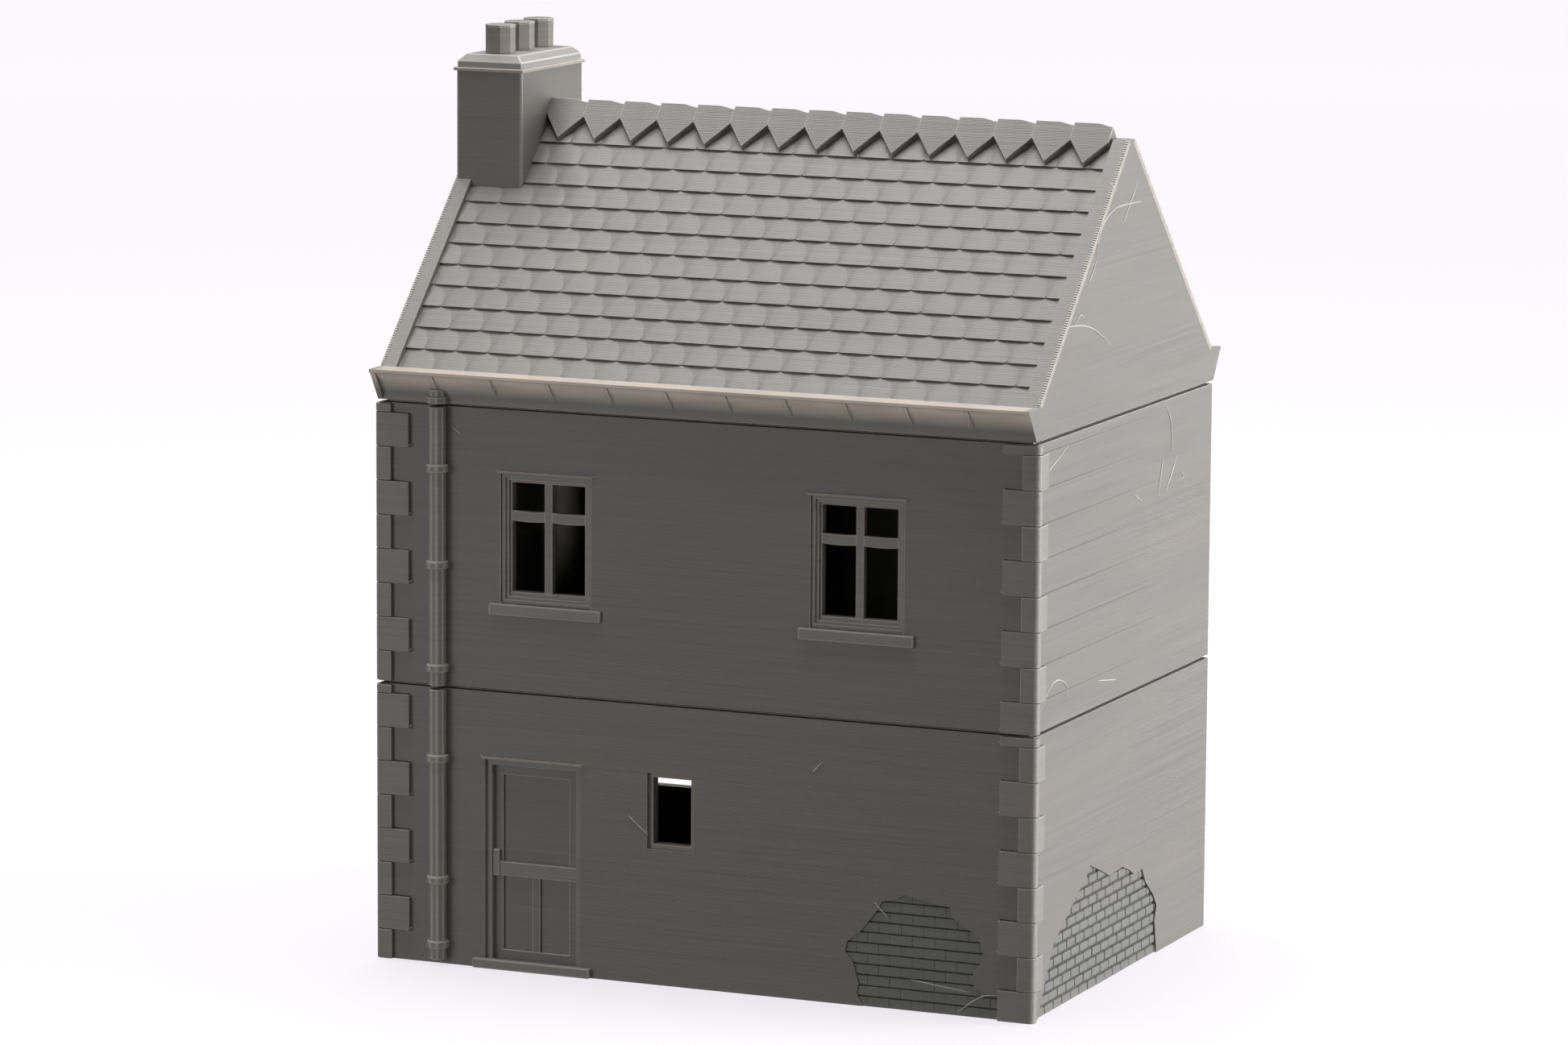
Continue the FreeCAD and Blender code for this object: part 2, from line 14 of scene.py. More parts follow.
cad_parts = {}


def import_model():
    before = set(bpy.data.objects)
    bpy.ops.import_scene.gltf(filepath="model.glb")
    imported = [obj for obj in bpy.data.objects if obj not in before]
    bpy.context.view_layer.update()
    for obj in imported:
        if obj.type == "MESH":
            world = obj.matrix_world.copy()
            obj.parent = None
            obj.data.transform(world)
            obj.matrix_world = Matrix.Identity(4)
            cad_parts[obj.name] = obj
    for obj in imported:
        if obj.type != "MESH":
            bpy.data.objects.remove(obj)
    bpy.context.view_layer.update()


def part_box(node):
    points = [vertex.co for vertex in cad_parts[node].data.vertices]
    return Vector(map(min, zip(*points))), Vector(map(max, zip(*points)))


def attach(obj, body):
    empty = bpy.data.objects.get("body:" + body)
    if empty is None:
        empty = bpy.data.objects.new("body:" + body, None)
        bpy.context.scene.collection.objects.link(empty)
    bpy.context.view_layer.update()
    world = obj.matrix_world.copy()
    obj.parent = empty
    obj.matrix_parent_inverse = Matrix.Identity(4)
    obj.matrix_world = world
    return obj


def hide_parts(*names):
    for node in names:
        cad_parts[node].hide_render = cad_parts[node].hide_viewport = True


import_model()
dice = random.Random(7)

MM = 0.001

# sizes shared with the solid model
SEAM = 0.45
SEAM_INSET = 1.0
WALL = 2.4
PLATE = 1.6
LIP_DROP = 2.0
LIP_INSET = WALL + 0.3
LIP_INNER = LIP_INSET + 1.6
# how far joined shapes run into each other, and a gap or overlap too small to see
BITE = 0.5
TINY = 0.1
# a face counts as turned some way when its normal points at least this far that way
TURNED = 0.3
SHARP_ANGLE = math.radians(50)
# the two ends and the two long sides of the house, and which way they face
ENDS = {"left": -1, "right": 1}
LONG_SIDES = {"front": -1, "back": 1}
# the place in an object's list of finishes of the colour painted on its edges: a painted highlight on
# softened edges, painted shade on the tiles' lower edges
PAINTED_EDGE_SLOT = 1

QUOIN_FIRST = 4.4
QUOIN_COURSE = 4.9
QUOIN_GAP = 0.1
QUOIN_ROUND = 0.9
QUOIN_ROUND_STEPS = 5
QUOIN_BARB = 0.4
QUOIN_BARB_INSET = 0.05
QUOIN_GROOVE = {"height": 0.16, "depth": 0.4}
QUOIN_RELIEF = 0.6
QUOIN_FRONT = {"long": 5.4, "short": 2.6}
QUOIN_SIDE = {"long": 1.2, "short": 3.4}

WIN_HALF = 7.0
WIN_HEIGHT = 18.6
WIN_SILL = 12.4
WIN_MIDDLES = {"left": -24.0, "right": 23.5}
WIN_STEP = 0.45
WIN_STEP_DEPTH = 0.33
WIN_STEPS = 3
WIN_FRAME = 1.36
WIN_RAIL = 1.64
WIN_BAR = 1.25
WIN_TRANSOM = 1.46
WIN_TOP_PANE = 4.0
WIN_SAG = 0.14
WIN_SAG_STEPS = 8
SILL_THICK = 1.7
SILL_OVERHANG = 1.65
SILL_REACH = 0.6
HEAD_LIP = 0.35

SLOT_HEIGHT = 10.9
SLOT_FRAME = 0.69
SLOT_DEPTH = 0.6
SLOTS = {
    "front": {"name": "small_window", "middle": -4.6, "half": 3.6, "sill": 19.45},
    "back": {"name": "rear_window", "middle": -35.4, "half": 5.2, "sill": 13.5},
}

DOOR_MIDDLE = -26.0
DOOR_HALF = 7.45
DOOR_HEAD = 30.3
DOOR_JAMB = 0.85
DOOR_JAMB_DEPTH = 0.5
DOOR_STILE = 1.45
DOOR_LEAF_DEPTH = 1.3
DOOR_PANEL_DEPTH = 1.65
DOOR_BOTTOM_RAIL = 1.2
DOOR_RAIL_LOW = 13.35
DOOR_RAIL = 2.1
DOOR_RAIL_RELIEF = 0.3
DOOR_MUNTIN = 1.25
LATCH = {"width": 1.0, "height": 3.9, "relief": 0.55}
STEP_HEIGHT = 1.45
STEP_OVERHANG = 1.7
STEP_REACH = 0.8

PIPE_X = -40.5
PIPE_STAND = 0.9
PIPE_HALF = 1.15
COLLAR_HALF = 1.5
COLLAR_HEIGHT = 1.2
PIPE_FOOT = 0.8
STUB_HEIGHT = 2.0
STUB_COLLAR = 1.0
GROUND_COLLARS = (3.0, 12.4, 30.0)
UPPER_COLLARS = (2.6, 17.4, 31.2)

BRICK_RECESS = 0.25
MORTAR_RECESS = 0.6
MORTAR_SKIN = 0.05
BRICK_COURSE = 1.52
BRICK_LENGTH = 3.35
BRICK_JUT = 0.04
BRICK_GAPS = {"front": {"course": 0.2, "end": 0.02}, "right": {"course": 0.3, "end": 0.2}}

# broken edges of the fallen plaster: along the wall from the right front corner, and height
PATCHES = {"front": (
    (-1.0, 0.0), (-25.2, 0.0), (-26.1, 1.7), (-25.8, 3.2), (-26.7, 6.0), (-27.9, 7.6), (-27.6, 9.0),
    (-25.6, 10.6), (-23.0, 13.9), (-22.4, 15.1), (-20.2, 15.6), (-18.9, 16.4), (-15.0, 15.7),
    (-12.2, 15.2), (-11.7, 13.7), (-8.2, 11.6), (-7.1, 9.6), (-7.4, 7.9), (-9.3, 5.1), (-7.6, 3.8),
    (-4.6, 3.4), (-1.0, 3.4),
), "right": (
    (2.6, 0.0), (5.2, 4.6), (7.4, 8.1), (8.6, 9.8), (11.6, 11.3), (17.0, 14.6), (20.4, 16.1),
    (22.4, 18.0), (26.8, 16.4), (30.1, 15.1), (35.5, 15.3), (38.3, 14.3), (40.2, 13.4), (43.6, 13.5),
    (45.0, 11.3), (48.3, 8.8), (49.8, 7.0), (49.0, 4.8), (49.9, 0.0),
)}

EAVE_RISE = 4.3
APEX_FLAT = 1.1
VERGE = 2.4
TEETH = {"width": 0.42, "pitch": 0.42, "relief": 0.1, "proud": 0.03, "start": 0.9}
TILE_RECESS = 0.8
TILE_STEP = 0.3
TILE_PILLOW = 0.2
TILE_CORNER = 0.2
TILE_CORNER_POWER = 8
TILE_PILLOW_POWER = 4
TILE_COLUMNS = 15
TILE_ROWS = 4
TILE_BEAD = {"half": 0.11, "share": 0.6, "above": 0.25, "end": 0.4, "top": 0.6}
TILE_WIDTH = 5.0
TILE_PHASE = 2.7
COURSE_START = 1.3
COURSE_PITCH = 3.86
COURSES = 12
ROOF_SHELL = 2.4

GUTTER_REACH = 3.4
GUTTER_TOP = 4.6
GUTTER_LIP = 0.3
GUTTER_LIP_HEIGHT = 0.5
GUTTER_FOOT = 0.45
COVE_START = 0.7
COVE_RADIUS = 5.2
COVE_STEPS = 12
BRACKETS = 12
BRACKET_WIDTH = 0.8
BRACKET_FOOT = 1.3

RIDGE_TILES = 15
RIDGE_THICK = 1.5
RIDGE_DIP = 0.3
RIDGE_DIP_START = 0.58
RIDGE_TIP = 5.5
RIDGE_NOTCH = 1.5
RIDGE_EDGE_SLOPE = 0.15
RIDGE_TAPER = 0.1
RIDGE_END_GAP = 0.4
RIDGE_STATIONS = 12

STACK_WIDTH = 10.5
# the stack's left face stands behind the gable's, so that the two don't share a plane
STACK_INSET = 0.05
STACK_HALF_DEPTH = 10.3
STACK_RISE = 45.1
RIM_HEIGHT = 0.5
RIM_REACH = 0.3
CAP_INSET = 0.15
CAP_BAND = 0.9
CAP_SLOPE = 1.0
POTS = 3
POT_HALF = 2.0
POT_HEIGHT = 4.2
POT_SPACING = 6.4
POT_LIP = 0.3
POT_LIP_PROUD = 0.05

# how far the edges of each kind of piece are rounded, and in how many steps
ROUNDING = {
    "front_bricks": (0.05, 3), "lip": (0.06, 2), "moulding": (0.08, 2), "thin": (0.1, 2),
    "plain": (0.12, 2), "stone": (0.13, 2), "bar": (0.14, 2), "wall": (0.15, 2), "rail": (0.16, 3),
    "rib": (0.18, 3),
    "pipe": (0.2, 2), "latch": (0.2, 3), "sill": (0.22, 3), "right_bricks": (0.22, 3), "collar": (0.28, 3),
    "stack": (0.4, 4),
}

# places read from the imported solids
HIGH_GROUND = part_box("ground_floor")[1] / MM
HIGH_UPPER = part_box("upper_floor")[1] / MM
RIGHT = HIGH_GROUND.x - QUOIN_RELIEF
LEFT = -RIGHT
BACK = HIGH_GROUND.y
FRONT = -BACK
STOREY = HIGH_GROUND.z
BASES = {"ground": 0.0, "upper": STOREY + SEAM, "roof": HIGH_UPPER.z + SEAM}
TOPS = {"ground": STOREY, "upper": HIGH_UPPER.z}
BODIES = {"ground": "ground_storey", "upper": "upper_storey", "roof": "roof_unit"}
NODES = {"ground": "ground_floor", "upper": "upper_floor", "roof": "roof"}

VERGE_EAVE = BASES["roof"] + EAVE_RISE
TILE_EAVE = VERGE_EAVE - TILE_RECESS * math.sqrt(2)
TILE_APEX = TILE_EAVE + BACK
SLOPE = math.sqrt(0.5)


# ---- shapes

def loft(rings, closed=False):
    """Faces through rings of points; a closed loft joins its last ring to its first."""
    count = len(rings[0])
    points = [point for ring in rings for point in ring]
    faces = []
    steps = len(rings) if closed else len(rings) - 1
    for row in range(steps):
        low, high = row * count, (row + 1) % len(rings) * count
        for column in range(count):
            beside = (column + 1) % count
            faces.append((low + column, low + beside, high + beside, high + column))
    if not closed:
        faces.append(tuple(range(count)))
        faces.append(tuple(range(steps * count, len(points))))
    return points, faces


def about(middle, half):
    """The span of a stated half width about a middle."""
    return (middle - half, middle + half)


def corners(first, second):
    """The corners of a rectangle, going round it, from its two spans."""
    return [(first[0], second[0]), (first[1], second[0]), (first[1], second[1]), (first[0], second[1])]


def across(outline, span):
    """A bar from one x to another; its end outline is made of (y, z) points."""
    return loft([[(x, y, z) for y, z in outline] for x in span])


def upright(plan, heights):
    """A post between two heights; its plan is made of (x, y) points."""
    return loft([[(x, y, z) for x, y in plan] for z in heights])


def box(low, high):
    """A block between two corners."""
    return across(corners((low[1], high[1]), (low[2], high[2])), (low[0], high[0]))


def ring_block(inset_out, inset_in, low, high):
    """A rectangular ring inside the house's outline, between two heights."""
    section = ((inset_out, low), (inset_out, high), (inset_in, high), (inset_in, low))
    return loft([[(x * (RIGHT - inset), y * (BACK - inset), z) for inset, z in section]
                 for x, y in ((-1, -1), (1, -1), (1, 1), (-1, 1))], closed=True)


def on_wall(side, along, into, height):
    """A point on a wall: along it, into it from its face, and up."""
    if side == "front":
        return (along, FRONT + into, height)
    if side == "back":
        return (along, BACK - into, height)
    return (RIGHT - into, along, height)


def wall_box(side, along, into, height):
    """A block on a wall, each span a pair."""
    return loft([[on_wall(side, place, depth, rise) for depth, rise in corners(into, height)]
                 for place in along])


def wall_ring(side, outer, inner, into):
    """A rectangular frame on a wall; outer and inner are (low, high) pairs of (along, height)."""
    rings = []
    for column, row in ((0, 0), (1, 0), (1, 1), (0, 1)):
        out_point = (outer[column][0], outer[row][1])
        in_point = (inner[column][0], inner[row][1])
        section = corners((out_point, in_point), into)
        rings.append([on_wall(side, along, depth, height) for (along, height), depth in section])
    return loft(rings, closed=True)


def octagon(half, x, y, heights):
    """An eight-sided post with a flat to the front."""
    radius = half / math.cos(math.pi / 8)
    turns = [(k + 0.5) * math.pi / 4 for k in range(8)]
    return upright([(x + radius * math.cos(turn), y + radius * math.sin(turn)) for turn in turns], heights)


def on_slope(side, x, up, out):
    """A point on a roof slope: across, up the slope from the eaves, and out from the tile bed."""
    y = FRONT + (up - out) * SLOPE
    z = TILE_EAVE + (up + out) * SLOPE
    return (x, y if side == "front" else -y, z)


# ---- pieces

def make_object(name, parts):
    """A mesh object of several closed shapes, in metres."""
    points, faces = [], []
    for part_points, part_faces in parts:
        start = len(points)
        points += [Vector(point) * MM for point in part_points]
        faces += [[start + index for index in face] for face in part_faces]
    mesh = bpy.data.meshes.new(name)
    mesh.from_pydata(points, [], faces)
    work = bmesh.new()
    work.from_mesh(mesh)
    bmesh.ops.recalc_face_normals(work, faces=work.faces)
    work.to_mesh(mesh)
    work.free()
    item = bpy.data.objects.new(name, mesh)
    bpy.context.scene.collection.objects.link(item)
    return item


def smooth(item):
    """Shade an object's faces as curved."""
    item.data.polygons.foreach_set("use_smooth", [True] * len(item.data.polygons))


def round_edges(item, kind):
    """Soften every sharp edge, as the nozzle does; the softened edges take the edge finish, a painted
    highlight for most finishes.
    """
    smooth(item)
    width, bevel_steps = ROUNDING[kind]
    bevel = item.modifiers.new("rounding", "BEVEL")
    bevel.width = width * MM
    bevel.segments = bevel_steps
    bevel.limit_method = "ANGLE"
    bevel.harden_normals = True
    bevel.material = PAINTED_EDGE_SLOT


def carve(item, parts, operation="DIFFERENCE"):
    """Cut shapes out of an object, or keep only what lies within them."""
    tool = make_object("carving_tool", parts)
    carving = item.modifiers.new("carving", "BOOLEAN")
    carving.object = tool
    carving.operation = operation
    carving.solver = "EXACT"
    carving.use_self = True
    shaped = item.evaluated_get(bpy.context.evaluated_depsgraph_get())
    item.data = bpy.data.meshes.new_from_object(shaped)
    item.modifiers.clear()
    bpy.data.objects.remove(tool)


def settle(item, material, edge=None):
    """Give an object its finishes and its print, which the first word of its name tells."""
    storey = item.name.split("_")[0]
    item.data.materials.clear()
    item.data.materials.append(material)
    # the second finish is the colour painted on edges: a painted highlight for most finishes, painted shade
    # on the tiles' lower edges
    item.data.materials.append(edge or EDGE_HIGHLIGHTS.get(material.name, material))
    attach(item, BODIES[storey])
    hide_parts(NODES[storey])
    return item


def extra_finish(item, material):
    """Add a finish to an object; returns its place in the object's list."""
    item.data.materials.append(material)
    return len(item.data.materials) - 1


def piece(name, parts, material, kind="plain"):
    """A finished piece with softened edges; its kind says how far they are rounded."""
    item = make_object(name, parts)
    round_edges(item, kind)
    return settle(item, material)


# ---- finishes

# the sockets of a mix node for colours: its share, its two colours and its result
MIX_INPUTS = (0, 6, 7)
MIX_OUTPUT = 2
SHADER_INPUTS = {"colour": "Base Color", "roughness": "Roughness", "specular": "Specular IOR Level",
                 "glow": "Emission Color", "strength": "Emission Strength", "normal": "Normal"}


class Finish:
    """A node tree that is built up one node at a time."""

    def __init__(self, name):
        self.material = bpy.data.materials.new(name)
        self.material.use_nodes = True
        self.tree = self.material.node_tree
        self.shader = self.tree.nodes["Principled BSDF"]
        self.place = self.add("TexCoord").outputs["Object"]

    def add(self, kind, links=(), **settings):
        """A node with its settings, its plain input values and its links."""
        node = self.tree.nodes.new(f"ShaderNode{kind}")
        for key, value in settings.items():
            if hasattr(node, key):
                setattr(node, key, value)
            else:
                node.inputs[key.replace("_", " ").title()].default_value = value
        for socket, source in links:
            self.tree.links.new(source, node.inputs[socket])
        return node

    def noise(self, stretch, detail=2.0, roughness=0.5):
        """Noise of about zero to one, with one cell per stretch length on each axis (mm)."""
        scale = [1 / (MM * length) for length in stretch]
        spread = self.add("Mapping", [("Vector", self.place)], scale=scale)
        return self.add("TexNoise", [("Vector", spread.outputs["Vector"])], scale=1.0,
                        detail=detail, roughness=roughness).outputs["Fac"]

    def feed(self, socket, value):
        """Set an input, or link it to another node's output."""
        if isinstance(value, bpy.types.NodeSocket):
            self.tree.links.new(value, socket)
        else:
            socket.default_value = value if isinstance(value, float) else (*value, 1.0)

    def shade(self, **inputs):
        """Feed the shader's inputs, named in lower case."""
        for name, value in inputs.items():
            self.feed(self.shader.inputs[SHADER_INPUTS[name]], value)

    def math(self, operation, first, second):
        """One arithmetic step; either side is a socket or a number."""
        node = self.add("Math", operation=operation)
        self.feed(node.inputs[0], first)
        self.feed(node.inputs[1], second)
        return node.outputs[0]

    def blend(self, amount, first, second):
        """A colour between two others; amount is a socket."""
        node = self.add("Mix", data_type="RGBA")
        for index, value in zip(MIX_INPUTS, (amount, first, second)):
            self.feed(node.inputs[index], value)
        return node.outputs[MIX_OUTPUT]

    def spread(self, value, low, high):
        """Stretch the part of a value between low and high to the full range."""
        node = self.add("MapRange", [("Value", value)])
        node.inputs["From Min"].default_value = low
        node.inputs["From Max"].default_value = high
        return node.outputs["Result"]

    def height(self):
        """The height above the table, in metres."""
        parts = self.add("SeparateXYZ", [("Vector", self.place)])
        return parts.outputs["Z"]

    def bump(self, value, depth):
        """Surface relief of a stated depth (mm)."""
        node = self.add("Bump", [("Height", value)], distance=depth * MM, strength=1.0)
        self.shade(normal=node.outputs["Normal"])


# printed plastic: the size of one cell of its streaks, bands, blotches and grain along each axis
STREAKS = (45.0, 45.0, 0.55)
BANDS = (70.0, 70.0, 5.5)
BLOTCHES = (9.0, 9.0, 3.5)
GRAIN = (0.35, 0.35, 0.2)
# what each of them adds to the colour, to the relief and to the sheen
PRINT = {
    "layer": 0.2, "streaks": (0.3, 0.7), "bands": (0.6, 0.95), "blotches": 0.35, "warmth": 0.55,
    "layer_relief": 0.3, "streak_relief": 2.0, "grain_relief": 0.6, "sheen_range": 0.16, "specular": 0.35,
}


def printed(name, pale, dark, warm, gloss=0.46, relief=0.02):
    """Printed plastic: fine level layers, drawn-out streaks, warm bands and a satin sheen."""
    finish = Finish(name)
    streaks = finish.noise(STREAKS, detail=3.0, roughness=0.65)
    bands = finish.noise(BANDS)
    blotches = finish.noise(BLOTCHES)
    grain = finish.noise(GRAIN, detail=1.0)
    tone = finish.blend(finish.spread(streaks, *PRINT["streaks"]), dark, pale)
    warmth = finish.math("ADD", bands, finish.math("MULTIPLY", blotches, PRINT["blotches"]))
    warmth = finish.math("MULTIPLY", finish.spread(warmth, *PRINT["bands"]), PRINT["warmth"])
    finish.shade(colour=finish.blend(warmth, tone, warm))
    turns = finish.math("MULTIPLY", finish.height(), 2 * math.pi / (PRINT["layer"] * MM))
    layers = finish.math("MULTIPLY", finish.math("SINE", turns, 0.0), PRINT["layer_relief"])
    uneven = finish.math("ADD", finish.math("MULTIPLY", streaks, PRINT["streak_relief"]),
                         finish.math("MULTIPLY", grain, PRINT["grain_relief"]))
    finish.bump(finish.math("ADD", layers, uneven), relief)
    sheen = finish.math("ADD", finish.math("MULTIPLY", streaks, PRINT["sheen_range"]),
                        gloss - PRINT["sheen_range"] / 2)
    finish.shade(roughness=sheen, specular=PRINT["specular"])
    return finish.material


GREY = printed("grey_walls", (0.272, 0.262, 0.248), (0.228, 0.224, 0.216), (0.285, 0.255, 0.232))
# paler grey for the corner stones, frames, sills, pipes and other jutting parts: painted light, for the
# light they catch more than the walls
LIT_TRIM = printed("grey_trim", (0.34, 0.326, 0.306), (0.291, 0.283, 0.27), (0.353, 0.314, 0.283))
# warmer, paler grey for the head lips and the stack's rim: painted light, for light that shines through the
# thin plastic
LIT_WARM_GREY = printed("warm_edges", (0.42, 0.365, 0.315), (0.35, 0.312, 0.278), (0.45, 0.37, 0.308), gloss=0.42)
TILE = printed("grey_tiles", (0.283, 0.273, 0.26), (0.236, 0.23, 0.222), (0.29, 0.264, 0.243), gloss=0.42)
BRICK = printed("cool_bricks", (0.252, 0.255, 0.246), (0.212, 0.219, 0.212), (0.258, 0.25, 0.235),
                relief=0.03)
# paler grey: a painted highlight on the stack's cap under the light above, on the stones' rounded corners
# and on the stack's softened edges
PALE_CAP_HIGHLIGHT = printed("pale_cap", (0.36, 0.342, 0.322), (0.31, 0.298, 0.284), (0.37, 0.333, 0.306))
POT = printed("dark_pots", (0.285, 0.266, 0.245), (0.235, 0.222, 0.207), (0.305, 0.27, 0.239))
# darker grey for the chimney stack: painted shade
SHADED_STACK = printed("stack_grey", (0.222, 0.214, 0.203), (0.187, 0.183, 0.177), (0.233, 0.208, 0.19))
# near black: painted shade on the mortar bed behind the bricks
SHADE = printed("dark_seams", (0.1, 0.092, 0.084), (0.075, 0.07, 0.065), (0.105, 0.09, 0.078), gloss=0.6)
# dark grey: the faint seam traces, and painted shade on the faces inside the rooms and on the tiles' lower
# edges
SOFT_SEAM_AND_SHADE = printed("soft_seams", (0.165, 0.157, 0.147), (0.145, 0.138, 0.13), (0.17, 0.155, 0.142),
                    gloss=0.6)
# pale greys painted on softened edges: painted highlights
GREY_EDGE_HIGHLIGHT = printed("grey_edges", (0.6, 0.58, 0.55), (0.5, 0.485, 0.465), (0.6, 0.55, 0.51))
WARM_EDGE_HIGHLIGHT = printed("pale_edges", (0.56, 0.52, 0.475), (0.48, 0.45, 0.42), (0.57, 0.5, 0.44))
# near white for the hairs of plastic, and a painted glint on the beads at the tile joints
THREAD_AND_GLINT = printed("pale_threads", (0.8, 0.78, 0.75), (0.68, 0.67, 0.65), (0.8, 0.75, 0.7), relief=0.005)

# the eaves moulding's painted glow, over a darker foot: the heights over the roof's base where it rises,
# its strength and colours
PAINTED_GLOW = {
    "rise": (1.2, 3.4), "strength": 0.125, "range": 0.12, "cells": (9.0, 9.0, 2.0), "roughness": 0.45,
    "foot": (0.3, 0.285, 0.265), "dark": (0.4, 0.35, 0.3), "pale": (0.5, 0.425, 0.365),
    "tint": (1.0, 0.87, 0.76),
}


def painted_glow_lip():
    """The moulding's finish: a painted glow and a paler colour on its upper part, for light that comes down
    through its thin lip.
    """
    finish = Finish("eaves_moulding")
    upper = finish.spread(finish.height(), *[(BASES["roof"] + rise) * MM for rise in PAINTED_GLOW["rise"]])
    cloud = finish.noise(PAINTED_GLOW["cells"])
    uneven = finish.math("ADD", finish.math("MULTIPLY", cloud, PAINTED_GLOW["range"]),
                         PAINTED_GLOW["strength"] - PAINTED_GLOW["range"] / 2)
    finish.shade(colour=finish.blend(upper, PAINTED_GLOW["foot"], finish.blend(cloud, PAINTED_GLOW["dark"], PAINTED_GLOW["pale"])),
                 glow=PAINTED_GLOW["tint"], strength=finish.math("MULTIPLY", upper, uneven),
                 roughness=PAINTED_GLOW["roughness"])
    return finish.material


GLOWING_MOULDING = painted_glow_lip()
# painted highlights on the softened edges of these finishes; other finishes keep their own colour there
EDGE_HIGHLIGHTS = {
    "grey_walls": GREY_EDGE_HIGHLIGHT, "grey_tiles": GREY_EDGE_HIGHLIGHT, "pale_cap": GREY_EDGE_HIGHLIGHT, "stack_grey": PALE_CAP_HIGHLIGHT,
    "grey_trim": WARM_EDGE_HIGHLIGHT, "warm_edges": WARM_EDGE_HIGHLIGHT, "eaves_moulding": WARM_EDGE_HIGHLIGHT,
}


# ---- corner stones and pipe

def stone(outer, inner, back, low, high):
    """A corner stone with a rounded outer corner."""
    way = 1 if outer > inner else -1
    front = FRONT - QUOIN_RELIEF
    plan = [(inner, front)]
    for step in range(QUOIN_ROUND_STEPS + 1):
        turn = math.pi / 2 * step / QUOIN_ROUND_STEPS
        plan.append((outer - way * QUOIN_ROUND * (1 - math.sin(turn)),
                     front + QUOIN_ROUND * (1 - math.cos(turn))))
    plan += [(outer, back), (inner, back)]
    return upright(plan, (low, high))


def stone_barb(inner, way, low):
    """The spur the nozzle leaves at the lower inner corner of a long stone."""
    front = FRONT - QUOIN_RELIEF
    root = [(inner - way * TINY, front + into, low + rise)
            for into, rise in corners((QUOIN_BARB_INSET, QUOIN_BARB), (TINY, QUOIN_BARB))]
    tip = [(inner + way * QUOIN_BARB, front + into, low + QUOIN_BARB + rise)
           for into, rise in corners((QUOIN_BARB - TINY, QUOIN_BARB), (0.0, TINY))]
    return loft([root, tip])


def paint_corner_highlight(item):
    """The rounded outer corner of a stone gets a painted highlight, like its other edges."""
    painted_highlight = extra_finish(item, PALE_CAP_HIGHLIGHT)
    for face in item.data.polygons:
        if abs(face.normal.x) > TURNED and face.normal.y < -TURNED:
            face.material_index = painted_highlight


def quoin_rows(storey):
    """The height span of every row of corner stones."""
    base, top = BASES[storey], TOPS[storey]
    rows = 1 + math.ceil((top - base - QUOIN_FIRST) / QUOIN_COURSE)
    spans = []
    for row in range(rows):
        low = base + (QUOIN_FIRST + (row - 1) * QUOIN_COURSE if row else 0.0)
        high = (top if row == rows - 1 else base + QUOIN_FIRST + row * QUOIN_COURSE) - QUOIN_GAP
        spans.append((low, high))
    return spans


def is_long(row, side):
    """Long and short stones take turns, and differ between the two corners."""
    return (row % 2 == 1) == (side == "left")


def quoins(storey):
    """Corner stones up both front corners, long and short in turn."""
    for row, (low, high) in enumerate(quoin_rows(storey)):
        for side, outward in ENDS.items():
            size = "long" if is_long(row, side) else "short"
            outer = outward * (RIGHT + QUOIN_RELIEF)
            inner = outer - outward * QUOIN_FRONT[size]
            back = FRONT - QUOIN_RELIEF + QUOIN_SIDE[size]
            parts = [stone(outer, inner, back, low, high)]
            if size == "long":
                parts.append(stone_barb(inner, -outward, low))
            item = piece(f"{storey}_quoin_{side}_{row}", parts, LIT_TRIM, "stone")
            paint_corner_highlight(item)


def quoin_grooves(storey):
    """Cuts that leave a dark line over each long stone."""
    cuts = []
    for row, (low, high) in enumerate(quoin_rows(storey)[:-1]):
        for side, outward in ENDS.items():
            if is_long(row, side):
                ends = [outward * (RIGHT - QUOIN_FRONT[size] + QUOIN_RELIEF) for size in ("long", "short")]
                cuts.append(wall_box("front", sorted(ends), (-BITE, QUOIN_GROOVE["depth"]),
                                     (high, high + QUOIN_GROOVE["height"])))
    return cuts


def pipe(storey, low, high, collars):
    """A length of rainwater pipe with its collars."""
    y = FRONT - PIPE_STAND
    piece(f"{storey}_pipe", [octagon(PIPE_HALF, PIPE_X, y, (low, high))], LIT_TRIM, "pipe")
    for number, middle in enumerate(collars):
        centre = BASES[storey] + middle
        collar = octagon(COLLAR_HALF, PIPE_X, y, about(centre, COLLAR_HEIGHT / 2))
        piece(f"{storey}_pipe_collar_{number}", [collar], LIT_TRIM, "collar")


# ---- windows and door

def head_lip(name, side, middle, half, height):
    """The thin lip over an opening, with the small barbs the nozzle leaves at its ends."""
    reach = half + HEAD_LIP
    parts = [wall_box(side, about(middle, reach), (-HEAD_LIP, BITE), (height, height + HEAD_LIP))]
    for way in (-1, 1):
        start = middle + way * (reach - TINY)
        root = [on_wall(side, start, into, height + rise)
                for into, rise in corners((-HEAD_LIP, TINY), (TINY, HEAD_LIP))]
        tip = [on_wall(side, start + way * BITE, into, height + HEAD_LIP + rise)
               for into, rise in corners((-TINY, 0.0), (0.0, TINY))]
        parts.append(loft([root, tip]))
    piece(name, parts, LIT_WARM_GREY, "lip")


def sagging_bar(side, low, high, bottom, top, into):
    """A bar printed across a gap, whose middle droops a little."""
    rings = []
    for step in range(WIN_SAG_STEPS + 1):
        share = step / WIN_SAG_STEPS
        droop = WIN_SAG * (1 - (2 * share - 1) ** 2)
        along = low + (high - low) * share
        section = corners(into, (bottom - droop, top - droop / 2))
        rings.append([on_wall(side, along, depth, height) for depth, height in section])
    return loft(rings)


